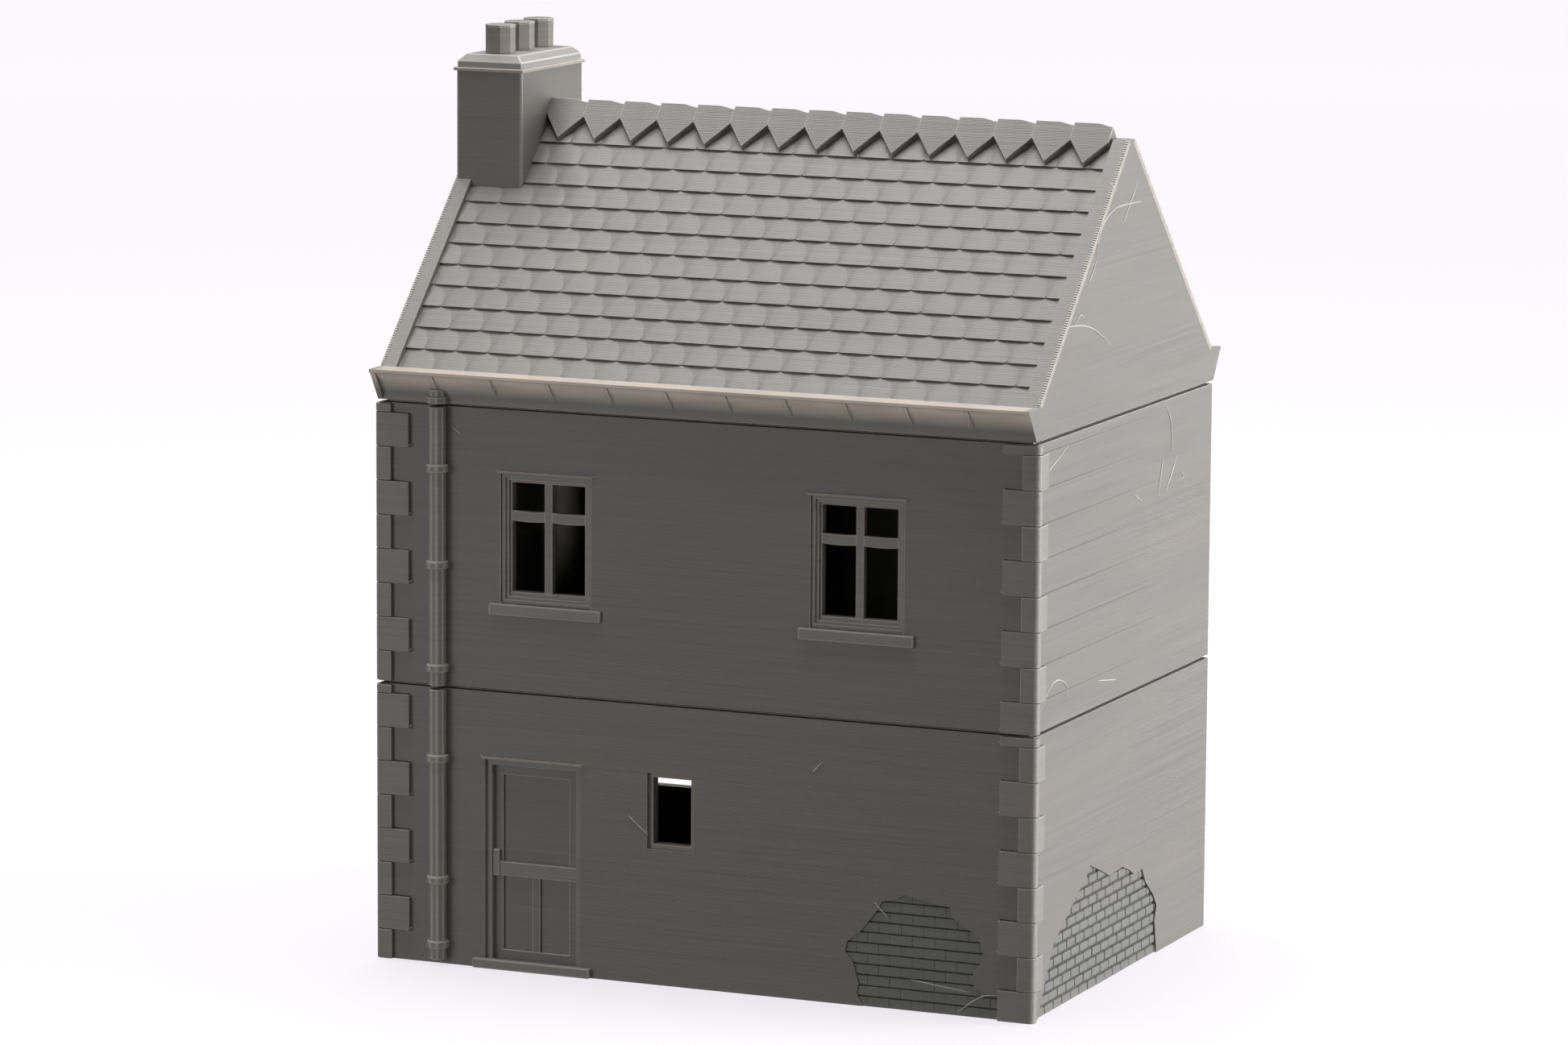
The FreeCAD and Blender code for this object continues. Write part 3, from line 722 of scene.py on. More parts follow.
def stepped_window(storey, side, name, middle):
    """One four-pane window: nested frame, mullion, drooping transoms, sill and head lip."""
    prefix = f"{storey}_{side}_{name}"
    sill = BASES[storey] + WIN_SILL
    head = sill + WIN_HEIGHT
    rings = []
    for step in range(WIN_STEPS):
        inset = step * WIN_STEP
        last = step == WIN_STEPS - 1
        inner_inset = WIN_FRAME if last else inset + WIN_STEP + TINY
        bottom_inset = WIN_RAIL if last else inner_inset
        outer = ((middle - WIN_HALF + inset, sill + inset), (middle + WIN_HALF - inset, head - inset))
        inner = ((middle - WIN_HALF + inner_inset, sill + bottom_inset),
                 (middle + WIN_HALF - inner_inset, head - inner_inset))
        rings.append(wall_ring(side, outer, inner, ((step + 1) * WIN_STEP_DEPTH, WALL)))
    piece(f"{prefix}_frame", rings, LIT_TRIM, "thin")
    face = WIN_STEPS * WIN_STEP_DEPTH
    bars = (face, WALL - WIN_STEP_DEPTH)
    low, high = sill + WIN_RAIL - TINY, head - WIN_FRAME + TINY
    mullion = wall_box(side, about(middle, WIN_BAR / 2), bars, (low, high))
    piece(f"{prefix}_mullion", [mullion], LIT_TRIM, "bar")
    top = head - WIN_FRAME - WIN_TOP_PANE
    reach = WIN_HALF - WIN_FRAME + TINY
    for way, half_name in ((-1, "left"), (1, "right")):
        span = sorted((middle + way * (WIN_BAR / 2 - TINY), middle + way * reach))
        bar = sagging_bar(side, span[0], span[1], top - WIN_TRANSOM, top, bars)
        piece(f"{prefix}_transom_{half_name}", [bar], LIT_TRIM, "bar")
    ledge = wall_box(side, about(middle, WIN_HALF + SILL_OVERHANG), (-SILL_REACH, BITE),
                     (sill - SILL_THICK, sill))
    piece(f"{prefix}_sill", [ledge], LIT_TRIM, "sill")
    head_lip(f"{prefix}_head", side, middle, WIN_HALF, head)


def slot_window(side, place):
    """One plain window without bars."""
    sill, head = place["sill"], place["sill"] + SLOT_HEIGHT
    low, high = about(place["middle"], place["half"])
    inner = ((low + SLOT_FRAME, sill + SLOT_FRAME), (high - SLOT_FRAME, head - SLOT_FRAME))
    ring = wall_ring(side, ((low, sill), (high, head)), inner, (SLOT_DEPTH, WALL))
    piece(f"ground_{place['name']}_frame", [ring], LIT_TRIM, "thin")


def front_door():
    """The closed door: jamb, leaf frame, raised rail, muntin, latch, step and head lip."""
    left, right = about(DOOR_MIDDLE, DOOR_HALF)
    leaf_left, leaf_right = left + DOOR_JAMB, right - DOOR_JAMB
    leaf_top = DOOR_HEAD - DOOR_JAMB
    below = STEP_HEIGHT - BITE
    behind = DOOR_PANEL_DEPTH + TINY
    jamb = wall_ring("front", ((left, below), (right, DOOR_HEAD)),
                     ((leaf_left, below + TINY), (leaf_right, leaf_top)), (DOOR_JAMB_DEPTH, behind))
    piece("ground_door_jamb", [jamb], LIT_TRIM)
    panel = ((leaf_left + DOOR_STILE, STEP_HEIGHT + DOOR_BOTTOM_RAIL),
             (leaf_right - DOOR_STILE, leaf_top - DOOR_STILE))
    leaf = wall_ring("front", ((leaf_left - TINY, below), (leaf_right + TINY, leaf_top + TINY)), panel,
                     (DOOR_LEAF_DEPTH, behind))
    piece("ground_door_leaf", [leaf], GREY, "thin")
    blocks = (
        ("rail", LIT_TRIM, "rail", (leaf_left, leaf_right), (DOOR_LEAF_DEPTH - DOOR_RAIL_RELIEF, behind),
         (DOOR_RAIL_LOW, DOOR_RAIL_LOW + DOOR_RAIL)),
        ("muntin", GREY, "plain", about(DOOR_MIDDLE, DOOR_MUNTIN / 2),
         (DOOR_LEAF_DEPTH, behind), (panel[0][1] - TINY, DOOR_RAIL_LOW + TINY)),
        ("latch", LIT_TRIM, "latch", (leaf_left, leaf_left + LATCH["width"]),
         (DOOR_LEAF_DEPTH - LATCH["relief"], behind), (DOOR_RAIL_LOW, DOOR_RAIL_LOW + LATCH["height"])),
        ("step", LIT_TRIM, "sill", about(DOOR_MIDDLE, DOOR_HALF + STEP_OVERHANG), (-STEP_REACH, BITE),
         (0.0, STEP_HEIGHT)),
    )
    for name, material, kind, along, into, height in blocks:
        piece(f"ground_door_{name}", [wall_box("front", along, into, height)], material, kind)
    head_lip("ground_door_head", "front", DOOR_MIDDLE, DOOR_HALF, DOOR_HEAD)


# ---- bricks

def patch_start(side):
    """Where the right front corner lies along a wall."""
    return RIGHT if side == "front" else FRONT


def patch_prism(side, outline, into):
    """The outline of a plaster patch, sunk into the wall from outside it."""
    corner = patch_start(side)
    return loft([[on_wall(side, corner + along, depth, height) for along, height in outline]
                 for depth in into])


def brick_course(side, first, last, course):
    """One course of slightly uneven bricks between two places along a wall."""
    gaps = BRICK_GAPS[side]
    low = course * BRICK_COURSE
    bricks = []
    start = first - (BRICK_LENGTH / 2 if course % 2 else 0.0)
    while start < last:
        jut = dice.uniform(-BRICK_JUT, BRICK_JUT)
        bricks.append(wall_box(side, (start, start + BRICK_LENGTH - gaps["end"]),
                               (BRICK_RECESS + jut, MORTAR_RECESS + BITE),
                               (low, low + BRICK_COURSE - gaps["course"])))
        start += BRICK_LENGTH
    return bricks


def brick_patch(side, outline):
    """The bricks that show where plaster has fallen."""
    corner = patch_start(side)
    first, last = (corner + edge(along for along, height in outline) for edge in (min, max))
    top = max(height for along, height in outline)
    bricks = []
    for course in range(int(top / BRICK_COURSE) + 1):
        bricks += brick_course(side, first, last, course)
    item = make_object(f"ground_{side}_bricks", bricks)
    round_edges(item, f"{side}_bricks")
    carve(item, [patch_prism(side, outline, (-BITE, MORTAR_RECESS + TINY))], "INTERSECT")
    settle(item, BRICK)
    # the mortar bed behind the bricks takes painted shade
    bed = patch_prism(side, outline, (MORTAR_RECESS - MORTAR_SKIN, MORTAR_RECESS + BITE))
    settle(make_object(f"ground_{side}_mortar", [bed]), SHADE)


# ---- storeys

def walls(storey, openings):
    """The four printed walls of a storey, with its openings cut through."""
    base, top = BASES[storey], TOPS[storey]
    item = make_object(f"{storey}_walls", [box((LEFT, FRONT, base), (RIGHT, BACK, top))])
    room = box((LEFT + WALL, FRONT + WALL, base - BITE), (RIGHT - WALL, BACK - WALL, top + BITE))
    carve(item, [room] + openings + quoin_grooves(storey))
    round_edges(item, "wall")
    settle(item, GREY)
    # the faces inside the rooms take painted shade
    shaded = extra_finish(item, SOFT_SEAM_AND_SHADE)
    for face in item.data.polygons:
        x, y = abs(face.center.x) / MM, abs(face.center.y) / MM
        if max(x - RIGHT, y - BACK) < TINY - WALL:
            face.material_index = shaded


def plate(name, inset, base):
    """The level floor of a storey."""
    block = box((LEFT + inset, FRONT + inset, base), (RIGHT - inset, BACK - inset, base + PLATE))
    piece(name, [block], GREY)


def through(side, middle, half, low, high, depth=WALL + BITE):
    """A block that opens a wall to a stated depth."""
    return wall_box(side, about(middle, half), (-BITE, depth), (low, high))


def ground_floor():
    """Door, two plain windows and two brick patches, closed by its own floor."""
    openings = [through("front", DOOR_MIDDLE, DOOR_HALF, STEP_HEIGHT - BITE, DOOR_HEAD, DOOR_PANEL_DEPTH)]
    for side, place in SLOTS.items():
        head = place["sill"] + SLOT_HEIGHT
        openings.append(through(side, place["middle"], place["half"], place["sill"], head))
    for side, outline in PATCHES.items():
        openings.append(patch_prism(side, outline, (-BITE, MORTAR_RECESS)))
    walls("ground", openings)
    plate("ground_floor_plate", WALL - TINY, 0.0)
    front_door()
    for side, place in SLOTS.items():
        slot_window(side, place)
    for side, outline in PATCHES.items():
        brick_patch(side, outline)
    quoins("ground")
    pipe("ground", PIPE_FOOT, STOREY, GROUND_COLLARS)


def upper_floor():
    """Four stepped windows, with a floor that sits in the walls below."""
    sill = BASES["upper"] + WIN_SILL
    openings = []
    for side in LONG_SIDES:
        for middle in WIN_MIDDLES.values():
            openings.append(through(side, middle, WIN_HALF, sill, sill + WIN_HEIGHT))
    walls("upper", openings)
    plate("upper_floor_plate", SEAM_INSET, STOREY)
    piece("upper_lip", [ring_block(LIP_INSET, LIP_INNER, STOREY - LIP_DROP, STOREY + BITE)], GREY)
    for side in LONG_SIDES:
        for name, middle in WIN_MIDDLES.items():
            stepped_window("upper", side, name, middle)
    quoins("upper")
    pipe("upper", BASES["upper"], TOPS["upper"], UPPER_COLLARS)


# ---- roof

def verge_teeth(side, outward):
    """The stepped print layers that show as a fine pale edge along one gable; their pale colour is a
    painted highlight.
    """
    outer, inner = outward * (RIGHT + TEETH["proud"]), outward * (RIGHT - TEETH["width"])
    length = (BACK - APEX_FLAT) / SLOPE - TEETH["start"]
    teeth = []
    for number in range(int(length / TEETH["pitch"])):
        low = TILE_RECESS + TEETH["start"] + number * TEETH["pitch"]
        for slope in LONG_SIDES:
            high = low + TEETH["pitch"] - TINY
            section = ((low, 0.0), (high, 0.0), (high, TILE_RECESS), (low, TILE_RECESS + TEETH["relief"]))
            teeth.append(loft([[on_slope(slope, x, up, out) for up, out in section]
                               for x in (inner, outer)]))
    settle(make_object(f"roof_verge_edge_{side}", teeth), WARM_EDGE_HIGHLIGHT)


def at_eaves(way, profile):
    """An end outline at one eaves, from (reach, rise) points off the foot of the roof."""
    return [(way * (BACK + reach), BASES["roof"] + rise) for reach, rise in profile]


def gable(side, outward):
    """One gable wall: its sloping top edge is the raised verge, its feet close the gutter ends."""
    apex = VERGE_EAVE + BACK - APEX_FLAT
    base = BASES["roof"]
    outline = [(FRONT, base), (FRONT, VERGE_EAVE), (-APEX_FLAT, apex), (APEX_FLAT, apex),
               (BACK, VERGE_EAVE), (BACK, base)]
    outer = outward * RIGHT
    item = make_object(f"roof_gable_{side}", [across(outline, (outer - outward * VERGE, outer))])
    under = GUTTER_TOP - GUTTER_LIP_HEIGHT
    foot = [(-BITE, 0.0), (GUTTER_FOOT, 0.0), (GUTTER_REACH - GUTTER_LIP, under), (GUTTER_REACH, under),
            (GUTTER_REACH, GUTTER_TOP), (-BITE, GUTTER_TOP)]
    span = (outer - outward * BRACKET_WIDTH, outer)
    carve(item, [across(at_eaves(way, foot), span) for way in LONG_SIDES.values()], "UNION")
    round_edges(item, "plain")
    settle(item, GREY)
    painted_glow, painted_highlight = extra_finish(item, GLOWING_MOULDING), extra_finish(item, LIT_TRIM)
    # the ends of the gutter feet take the moulding's painted glow; faces turned up take the paler trim grey
    # as a painted highlight
    for face in item.data.polygons:
        if abs(face.center.y) > (BACK + TINY) * MM and abs(face.normal.y) > TURNED:
            face.material_index = painted_glow
        elif face.normal.z > TURNED:
            face.material_index = painted_highlight
    verge_teeth(side, outward)


def deck(side, way):
    """One sloping deck under the tiles, with the wall strip below its eaves."""
    under = TILE_APEX - ROOF_SHELL * math.sqrt(2)
    inner = BACK - WALL
    outline = [(BACK, BASES["roof"]), (BACK, TILE_EAVE), (0.0, TILE_APEX), (0.0, under),
               (inner, under - inner), (inner, BASES["roof"])]
    reach = RIGHT - VERGE + TINY
    bed = across([(way * y, z) for y, z in outline], (-reach, reach))
    piece(f"roof_deck_{side}", [bed], TILE)


def tile(side, left, right, centre, up):
    """One softly pillowed tile, from left to right about its own centre."""
    sunk = Vector((0.0, -SLOPE if side == "back" else SLOPE, -SLOPE)) * BITE
    rings = []
    for row in range(TILE_ROWS):
        share = row / (TILE_ROWS - 1)
        line = []
        for column in range(TILE_COLUMNS):
            x = left + (right - left) * column / (TILE_COLUMNS - 1)
            off = min(1.0, abs(x - centre) / (TILE_WIDTH / 2))
            cusp = TILE_CORNER * off ** TILE_CORNER_POWER
            rise = up + cusp * (1 - share) + (COURSE_PITCH + BITE) * share
            lift = TILE_STEP * (1 - (rise - up) / COURSE_PITCH)
            pillow = TILE_PILLOW * off ** TILE_PILLOW_POWER
            line.append(on_slope(side, x, rise, lift - pillow))
        rings.append(line + [tuple(Vector(point) + sunk) for point in reversed(line)])
    return loft(rings)


def shade_lower_edges(item, side):
    """The lower edge of every tile takes painted shade, for the dark of its own overhang."""
    down = Vector((0.0, -SLOPE if side == "front" else SLOPE, -SLOPE))
    for face in item.data.polygons:
        if face.normal.dot(down) > SLOPE:
            face.material_index = PAINTED_EDGE_SLOT


def tile_phase(course):
    """Where one joint of a course lies; each course is half a tile along from the last."""
    return TILE_PHASE + (TILE_WIDTH / 2 if course % 2 else 0.0)


def tile_courses(side):
    """Every course of tiles on one slope."""
    low, high = LEFT + VERGE - TINY, RIGHT - VERGE + TINY
    for course in range(COURSES):
        phase = tile_phase(course)
        start = phase + TILE_WIDTH * math.floor((low - phase) / TILE_WIDTH)
        tiles = []
        while start < high:
            left, right = max(start, low), min(start + TILE_WIDTH, high)
            up = COURSE_START + course * COURSE_PITCH
            tiles.append(tile(side, left, right, start + TILE_WIDTH / 2, up))
            start += TILE_WIDTH
        item = make_object(f"roof_tiles_{side}_{course}", tiles)
        smooth(item)
        item.data.set_sharp_from_angle(angle=SHARP_ANGLE)
        # the tiles' edge colour is painted shade
        settle(item, TILE, SOFT_SEAM_AND_SHADE)
        shade_lower_edges(item, side)


def tile_bead(side, x, up):
    """One small bead of plastic, pointed up and down the slope."""
    half, top = TILE_BEAD["half"], TILE_BEAD["top"]
    rings = []
    for share in (-1.0, 0.0, 1.0):
        wide = half * (1.0 if share == 0.0 else TILE_BEAD["end"])
        section = ((-1.0, 0.0), (1.0, 0.0), (top, TILE_STEP + wide), (-top, TILE_STEP + wide))
        rings.append([on_slope(side, x + aside * wide, up + share * half, out) for aside, out in section])
    return loft(rings)


def tile_beads(side):
    """Beads on some of the joints between tiles, just over their lower edges; their near white colour is a
    painted glint.
    """
    half = TILE_BEAD["half"]
    up_to_stack = (BACK - STACK_HALF_DEPTH) / SLOPE
    beads = []
    for course in range(COURSES):
        up = COURSE_START + course * COURSE_PITCH + TILE_BEAD["above"]
        x = tile_phase(course) + TILE_WIDTH * math.ceil(LEFT / TILE_WIDTH)
        while x < RIGHT - VERGE - half:
            clear = up + COURSE_PITCH < up_to_stack or x > LEFT + STACK_WIDTH + half
            if x > LEFT + VERGE + half and clear and dice.random() < TILE_BEAD["share"]:
                beads.append(tile_bead(side, x, up))
            x += TILE_WIDTH
    settle(make_object(f"roof_tile_beads_{side}", beads), THREAD_AND_GLINT)


def ridge_ring(x, down, thick):
    """The outline of a folded ridge tile at one place along the ridge; it thins towards its edges."""
    up = BACK / SLOPE - down
    outer = thick - down * RIDGE_TAPER
    return [
        on_slope("front", x, up + RIDGE_EDGE_SLOPE, outer), on_slope("front", x, up, -TINY),
        (x, 0.0, TILE_APEX - TINY),
        on_slope("back", x, up, -TINY), on_slope("back", x, up + RIDGE_EDGE_SLOPE, outer),
        (x, 0.0, TILE_APEX + thick * math.sqrt(2)),
    ]


def ridge_tiles():
    """Pointed tiles folded over the ridge, each sinking a little towards the next one."""
    start = LEFT + STACK_WIDTH
    end = RIGHT - VERGE - RIDGE_END_GAP
    step = (end - start) / RIDGE_TILES
    for number in range(RIDGE_TILES):
        rings = []
        for station in range(RIDGE_STATIONS + 1):
            share = station / RIDGE_STATIONS
            fall = max(0.0, (share - RIDGE_DIP_START) / (1 - RIDGE_DIP_START))
            thick = RIDGE_THICK - RIDGE_DIP * (1 - math.cos(math.pi * fall)) / 2
            down = RIDGE_TIP - (RIDGE_TIP - RIDGE_NOTCH) * abs(2 * share - 1)
            rings.append(ridge_ring(start + (number + share) * step, down, thick))
        piece(f"roof_ridge_tile_{number}", [loft(rings)], TILE, "thin")


def gutter_outline():
    """The end outline of the eaves moulding: (reach, rise) points with a cove under a thin lip."""
    foot = Vector((GUTTER_FOOT, COVE_START))
    knee = Vector((GUTTER_REACH - GUTTER_LIP, GUTTER_TOP - GUTTER_LIP_HEIGHT))
    half = (knee - foot) / 2
    normal = Vector((half.y, -half.x)).normalized()
    centre = foot + half + normal * math.sqrt(COVE_RADIUS ** 2 - half.length ** 2)
    begin = (foot - centre).to_tuple()
    sweep = Vector(begin).angle_signed(knee - centre)
    curve = []
    for step in range(COVE_STEPS + 1):
        turn = Matrix.Rotation(-sweep * step / COVE_STEPS, 2)
        curve.append((centre + turn @ Vector(begin)).to_tuple())
    return curve + [(GUTTER_REACH, knee.y), (GUTTER_REACH, GUTTER_TOP), (-BITE, GUTTER_TOP),
                    (-BITE, 0.0), (GUTTER_FOOT, 0.0)]


def gutter(side, way):
    """One eaves moulding between the gables' feet, with its brackets."""
    end = RIGHT - BRACKET_WIDTH + TINY
    moulding = across(at_eaves(way, gutter_outline()), (-end, end))
    # the moulding and its brackets take the painted glow
    piece(f"roof_gutter_{side}", [moulding], GLOWING_MOULDING, "moulding")
    under = GUTTER_TOP - GUTTER_LIP_HEIGHT
    profile = [(-BITE, BRACKET_FOOT), (GUTTER_FOOT + GUTTER_LIP, BRACKET_FOOT),
               (GUTTER_REACH - GUTTER_LIP, under), (-BITE, under)]
    for number in range(1, BRACKETS - 1):
        start = LEFT + number * (RIGHT - LEFT - BRACKET_WIDTH) / (BRACKETS - 1)
        rib = across(at_eaves(way, profile), (start, start + BRACKET_WIDTH))
        piece(f"roof_bracket_{side}_{number}", [rib], GLOWING_MOULDING, "rib")


def chimney():
    """Stack, rim, sloping cap and pots, astride the ridge at the left gable."""
    top = BASES["roof"] + STACK_RISE
    left, right, half = LEFT, LEFT + STACK_WIDTH, STACK_HALF_DEPTH
    foot = TILE_APEX - half - ROOF_SHELL
    stack = box((left + STACK_INSET, -half, foot), (right, half, top - TINY))
    # the stack's darker grey is painted shade
    piece("roof_stack", [stack], SHADED_STACK, "stack")
    rim_low = (left - RIM_REACH, -half - RIM_REACH, top - RIM_HEIGHT)
    rim_high = (right + RIM_REACH, half + RIM_REACH, top)
    piece("roof_stack_rim", [box(rim_low, rim_high)], LIT_WARM_GREY, "wall")
    rings = []
    for rise, inset in ((0.0, 0.0), (CAP_BAND, 0.0), (CAP_BAND + CAP_SLOPE, CAP_SLOPE)):
        inset += CAP_INSET
        plan = corners((left + inset, right - inset), (inset - half, half - inset))
        rings.append([(x, y, top + rise) for x, y in plan])
    piece("roof_stack_cap", [loft(rings)], PALE_CAP_HIGHLIGHT, "wall")
    pots(top + CAP_BAND + CAP_SLOPE)


def pots(base):
    """Chimney pots with thin lips, standing in a row on the stack's cap."""
    x = LEFT + STACK_WIDTH / 2
    high = base + POT_HEIGHT
    low = high - POT_LIP
    for number in range(POTS):
        y = (number - (POTS - 1) / 2) * POT_SPACING
        pot = octagon(POT_HALF, x, y, (base - BITE, low))
        piece(f"roof_pot_{number}", [pot], POT, "thin")
        lip = octagon(POT_HALF + POT_LIP_PROUD, x, y, (low - TINY, high))
        piece(f"roof_pot_lip_{number}", [lip], LIT_TRIM, "thin")


def roof():
    """Gables, decks, tiles, ridge, gutters and chimney, over a lip that drops into the walls."""
    rest = TOPS["upper"]
    piece("roof_land", [ring_block(SEAM_INSET, LIP_INNER, rest, rest + PLATE)], GREY)
    piece("roof_lip", [ring_block(LIP_INSET, LIP_INNER, rest - LIP_DROP, rest + BITE)], GREY)
    for side, outward in ENDS.items():
        gable(side, outward)
    for side, way in LONG_SIDES.items():
        deck(side, way)
        tile_courses(side)
        tile_beads(side)
        gutter(side, way)
    ridge_tiles()
    chimney()
    base = BASES["roof"]
    for name, half, height in (("stub", PIPE_HALF, STUB_HEIGHT), ("stub_collar", COLLAR_HALF, STUB_COLLAR)):
        length = octagon(half, PIPE_X, FRONT - PIPE_STAND, (base, base + height))
        piece(f"roof_pipe_{name}", [length], LIT_TRIM, "pipe")


# ---- threads and faint seams

# hairs of plastic left on the print: points along the wall and their heights
THREADS = {"right": {
    "roof": (
        ((-9.0, 114.0), (-6.0, 112.5)),
        ((2.5, 113.0), (-3.5, 107.5)),
        ((4.0, 110.0), (-6.5, 110.0), (-12.0, 107.5), (-13.5, 103.5)),
        ((-13.5, 103.5), (-16.5, 100.5)),
        ((-24.5, 95.5), (-16.0, 94.5), (-7.0, 91.0)),
        ((-21.5, 95.5), (-19.5, 96.5), (-18.0, 96.0)),
    ),
    "upper": (
        ((-35.0, 75.0), (-23.5, 79.0)),
        ((15.0, 80.0), (17.5, 77.0), (18.0, 72.5)),
        ((20.5, 72.0), (15.5, 67.0)),
        ((22.0, 69.5), (23.0, 68.5), (22.0, 68.0)),
        ((14.5, 72.5), (12.5, 67.0)),
        ((3.0, 68.5), (6.0, 67.0)),
        ((-33.5, 43.0), (-28.5, 46.5), (-24.0, 46.0), (-22.5, 44.0)),
        ((-10.5, 44.0), (-3.5, 43.0)),
    ),
}, "front": {
    "upper": (((-38.5, 77.5), (-37.0, 76.5)),),
    "ground": (
        ((-11.0, 24.0), (-8.0, 21.5)),
        ((17.0, 32.5), (18.5, 34.0)),
        ((26.5, 15.0), (28.5, 13.0)),
        ((45.0, 3.5), (42.5, 3.0), (39.0, 0.5)),
        ((32.0, 4.5), (41.0, 3.5)),
    ),
}}
# a hair's thickness, what is left of it at its ends, and how finely it is modelled
HAIR = {"thick": 0.15, "end": 0.4, "steps": 6, "sides": 6}
SEAM_TRACE = {"height": 0.17, "relief": 0.03, "start": 2.4, "shortest": 38.0, "longest": 46.0}


def smooth_path(points):
    """A curve that passes smoothly through a few points."""
    padded = [points[0]] + list(points) + [points[-1]]
    path = []
    for a, b, c, d in zip(padded, padded[1:], padded[2:], padded[3:]):
        for step in range(HAIR["steps"]):
            t = step / HAIR["steps"]
            path.append([b[k] + ((c[k] - a[k]) * t + (2 * a[k] - 5 * b[k] + 4 * c[k] - d[k]) * t ** 2
                                 + (3 * b[k] - a[k] - 3 * c[k] + d[k]) * t ** 3) / 2 for k in (0, 1)])
    return path + [points[-1]]


def thread(side, points):
    """A hair of plastic lying on a wall, thinner at its ends."""
    path = [Vector(point) for point in smooth_path(points)]
    rings = []
    for index, spot in enumerate(path):
        way = (path[min(index + 1, len(path) - 1)] - path[max(index - 1, 0)]).normalized()
        fullness = math.sin(math.pi * index / (len(path) - 1))
        half = HAIR["thick"] / 2 * (HAIR["end"] + (1 - HAIR["end"]) * fullness)
        ring = []
        for corner in range(HAIR["sides"]):
            turn = 2 * math.pi * corner / HAIR["sides"]
            aside, out = half * math.cos(turn), half * math.sin(turn)
            ring.append(on_wall(side, spot.x - way.y * aside, -half + out, spot.y + way.x * aside))
        rings.append(ring)
    return loft(rings)


def threads():
    """Hairs of plastic on the front and on the right wall."""
    for side, sets in THREADS.items():
        for storey, paths in sets.items():
            item = make_object(f"{storey}_threads_{side}", [thread(side, points) for points in paths])
            smooth(item)
            settle(item, THREAD_AND_GLINT)


def seam_traces():
    """Faint lines that run back from the joints between the corner stones and fade away."""
    half = SEAM_TRACE["height"] / 2
    start = FRONT + SEAM_TRACE["start"]
    traces = []
    for low, high in quoin_rows("upper")[:-1]:
        end = start + dice.uniform(SEAM_TRACE["shortest"], SEAM_TRACE["longest"])
        outline = ((start, high - half), (start, high + half), (end, high))
        traces.append(loft([[on_wall("right", along, depth, height) for along, height in outline]
                            for depth in (-SEAM_TRACE["relief"], BITE)]))
    settle(make_object("upper_seam_traces", traces), SOFT_SEAM_AND_SHADE)


# ---- stage, light and camera

# the table's colours, its own light near and far (reach in metres), and its size in mm
PALE_LIGHT = (0.98, 0.945, 1.0)
TABLE = {
    "cloud": (400.0, 400.0, 400.0), "dark": (0.245, 0.236, 0.25), "pale": (0.255, 0.245, 0.26),
    "glow": 0.745, "near": (0.15, 1.4, 0.21), "far": (1.8, 8.0, 0.05), "roughness": 0.9,
    "half": 20000.0, "depth": 20.0, "gap": 0.02,
}


def floor():
    """A wide pale table top."""
    finish = Finish("pale_table")
    tone = finish.blend(finish.noise(TABLE["cloud"]), TABLE["dark"], TABLE["pale"])
    distance = finish.add("VectorMath", [("Vector", finish.place)], operation="LENGTH")
    strength = TABLE["glow"]
    for start, end, more in (TABLE["near"], TABLE["far"]):
        share = finish.spread(distance.outputs["Value"], start, end)
        strength = finish.math("ADD", finish.math("MULTIPLY", share, more), strength)
    finish.shade(colour=tone, glow=PALE_LIGHT, strength=strength, roughness=TABLE["roughness"])
    half = TABLE["half"]
    item = make_object("table", [box((-half, -half, -TABLE["depth"]), (half, half, -TABLE["gap"]))])
    item.data.materials.append(finish.material)
    item.visible_diffuse = False
    item.visible_glossy = False


# how strongly the surroundings light the house, from below to above
FILL = {"From Min": -0.25, "From Max": 0.25, "To Min": 0.22, "To Max": 0.04}
FILL_COLOUR = (1.0, 0.985, 0.97)


def world():
    """Pale surroundings; what they look like and how much they light are set apart."""
    made = bpy.data.worlds.new("surroundings")
    made.use_nodes = True
    nodes, link = made.node_tree.nodes, made.node_tree.links.new
    parts = nodes.new("ShaderNodeSeparateXYZ")
    link(nodes.new("ShaderNodeTexCoord").outputs["Generated"], parts.inputs[0])
    strength = nodes.new("ShaderNodeMapRange")
    for name, value in FILL.items():
        strength.inputs[name].default_value = value
    link(parts.outputs["Z"], strength.inputs["Value"])
    fill, seen = nodes["Background"], nodes.new("ShaderNodeBackground")
    fill.inputs["Color"].default_value = (*FILL_COLOUR, 1.0)
    link(strength.outputs["Result"], fill.inputs["Strength"])
    seen.inputs["Color"].default_value = (*PALE_LIGHT, 1.0)
    path, mix = nodes.new("ShaderNodeLightPath"), nodes.new("ShaderNodeMixShader")
    for socket, source in enumerate((path.outputs["Is Camera Ray"], fill.outputs[0], seen.outputs[0])):
        link(source, mix.inputs[socket])
    link(mix.outputs[0], nodes["World Output"].inputs["Surface"])
    bpy.context.scene.world = made


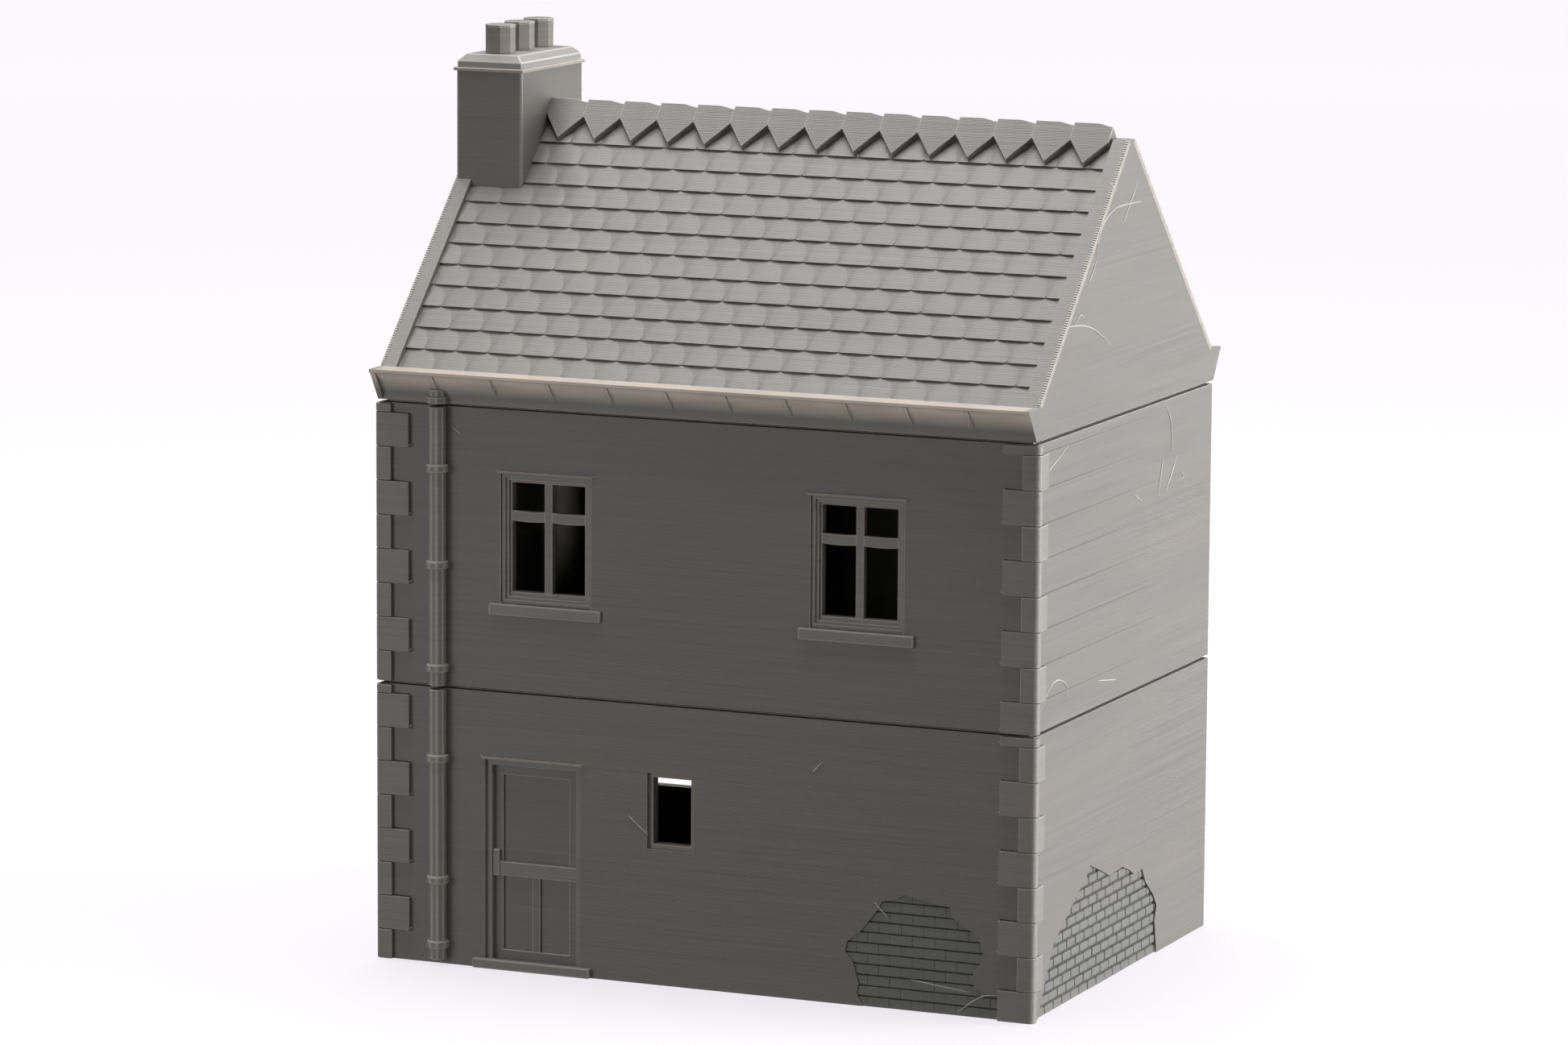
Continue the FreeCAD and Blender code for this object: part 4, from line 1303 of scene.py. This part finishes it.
# soft square panels: place and size in mm, power in watts
PANELS = {
    "side_panel": ((620.0, 240.0, 85.0), 420.0, 7.75),
    "edge_panel": ((640.0, -70.0, 180.0), 160.0, 0.5),
    "top_panel": ((-120.0, 90.0, 900.0), 700.0, 10.0),
    "left_panel": ((-380.0, -620.0, 140.0), 300.0, 0.85),
}
PANEL_TARGET = (0.0, 0.0, 60.0)


def lights():
    """Two low panels at the right, a wide one overhead and a weak one at the left front."""
    for name, (place, size, power) in PANELS.items():
        lamp = bpy.data.lights.new(name, "AREA")
        lamp.size = size * MM
        lamp.energy = power
        item = bpy.data.objects.new(name, lamp)
        bpy.context.scene.collection.objects.link(item)
        item.location = Vector(place) * MM
        item.rotation_euler = (Vector(PANEL_TARGET) - Vector(place)).to_track_quat("-Z", "Y").to_euler()
        item.visible_camera = False


CAMERA = {"azimuth": 23.268, "elevation": 8.892, "roll": 0.369, "distance": 974.2,
          "target": (-2.559, 0.0, 61.359), "lens": 155.24, "sensor": 36.0,
          "near": 0.05, "far": 50.0}


def camera():
    """The view from the street, right of the front, with a long lens."""
    turn, lift = math.radians(CAMERA["azimuth"]), math.radians(CAMERA["elevation"])
    back = Vector((math.sin(turn) * math.cos(lift), -math.cos(turn) * math.cos(lift), math.sin(lift)))
    right = Vector((math.cos(turn), math.sin(turn), 0.0))
    up = back.cross(right)
    roll = math.radians(CAMERA["roll"])
    rightward = math.cos(roll) * right + math.sin(roll) * up
    upward = math.cos(roll) * up - math.sin(roll) * right
    lens = bpy.data.cameras.new("camera")
    lens.lens = CAMERA["lens"]
    lens.sensor_width = CAMERA["sensor"]
    lens.clip_start, lens.clip_end = CAMERA["near"], CAMERA["far"]
    item = bpy.data.objects.new("camera", lens)
    bpy.context.scene.collection.objects.link(item)
    place = (Vector(CAMERA["target"]) + back * CAMERA["distance"]) * MM
    turned = Matrix((rightward, upward, back)).transposed().to_4x4()
    item.matrix_world = Matrix.Translation(place) @ turned
    bpy.context.scene.camera = item
    bpy.context.scene.view_settings.view_transform = "Standard"


ground_floor()
upper_floor()
roof()
threads()
seam_traces()
floor()
world()
lights()
camera()
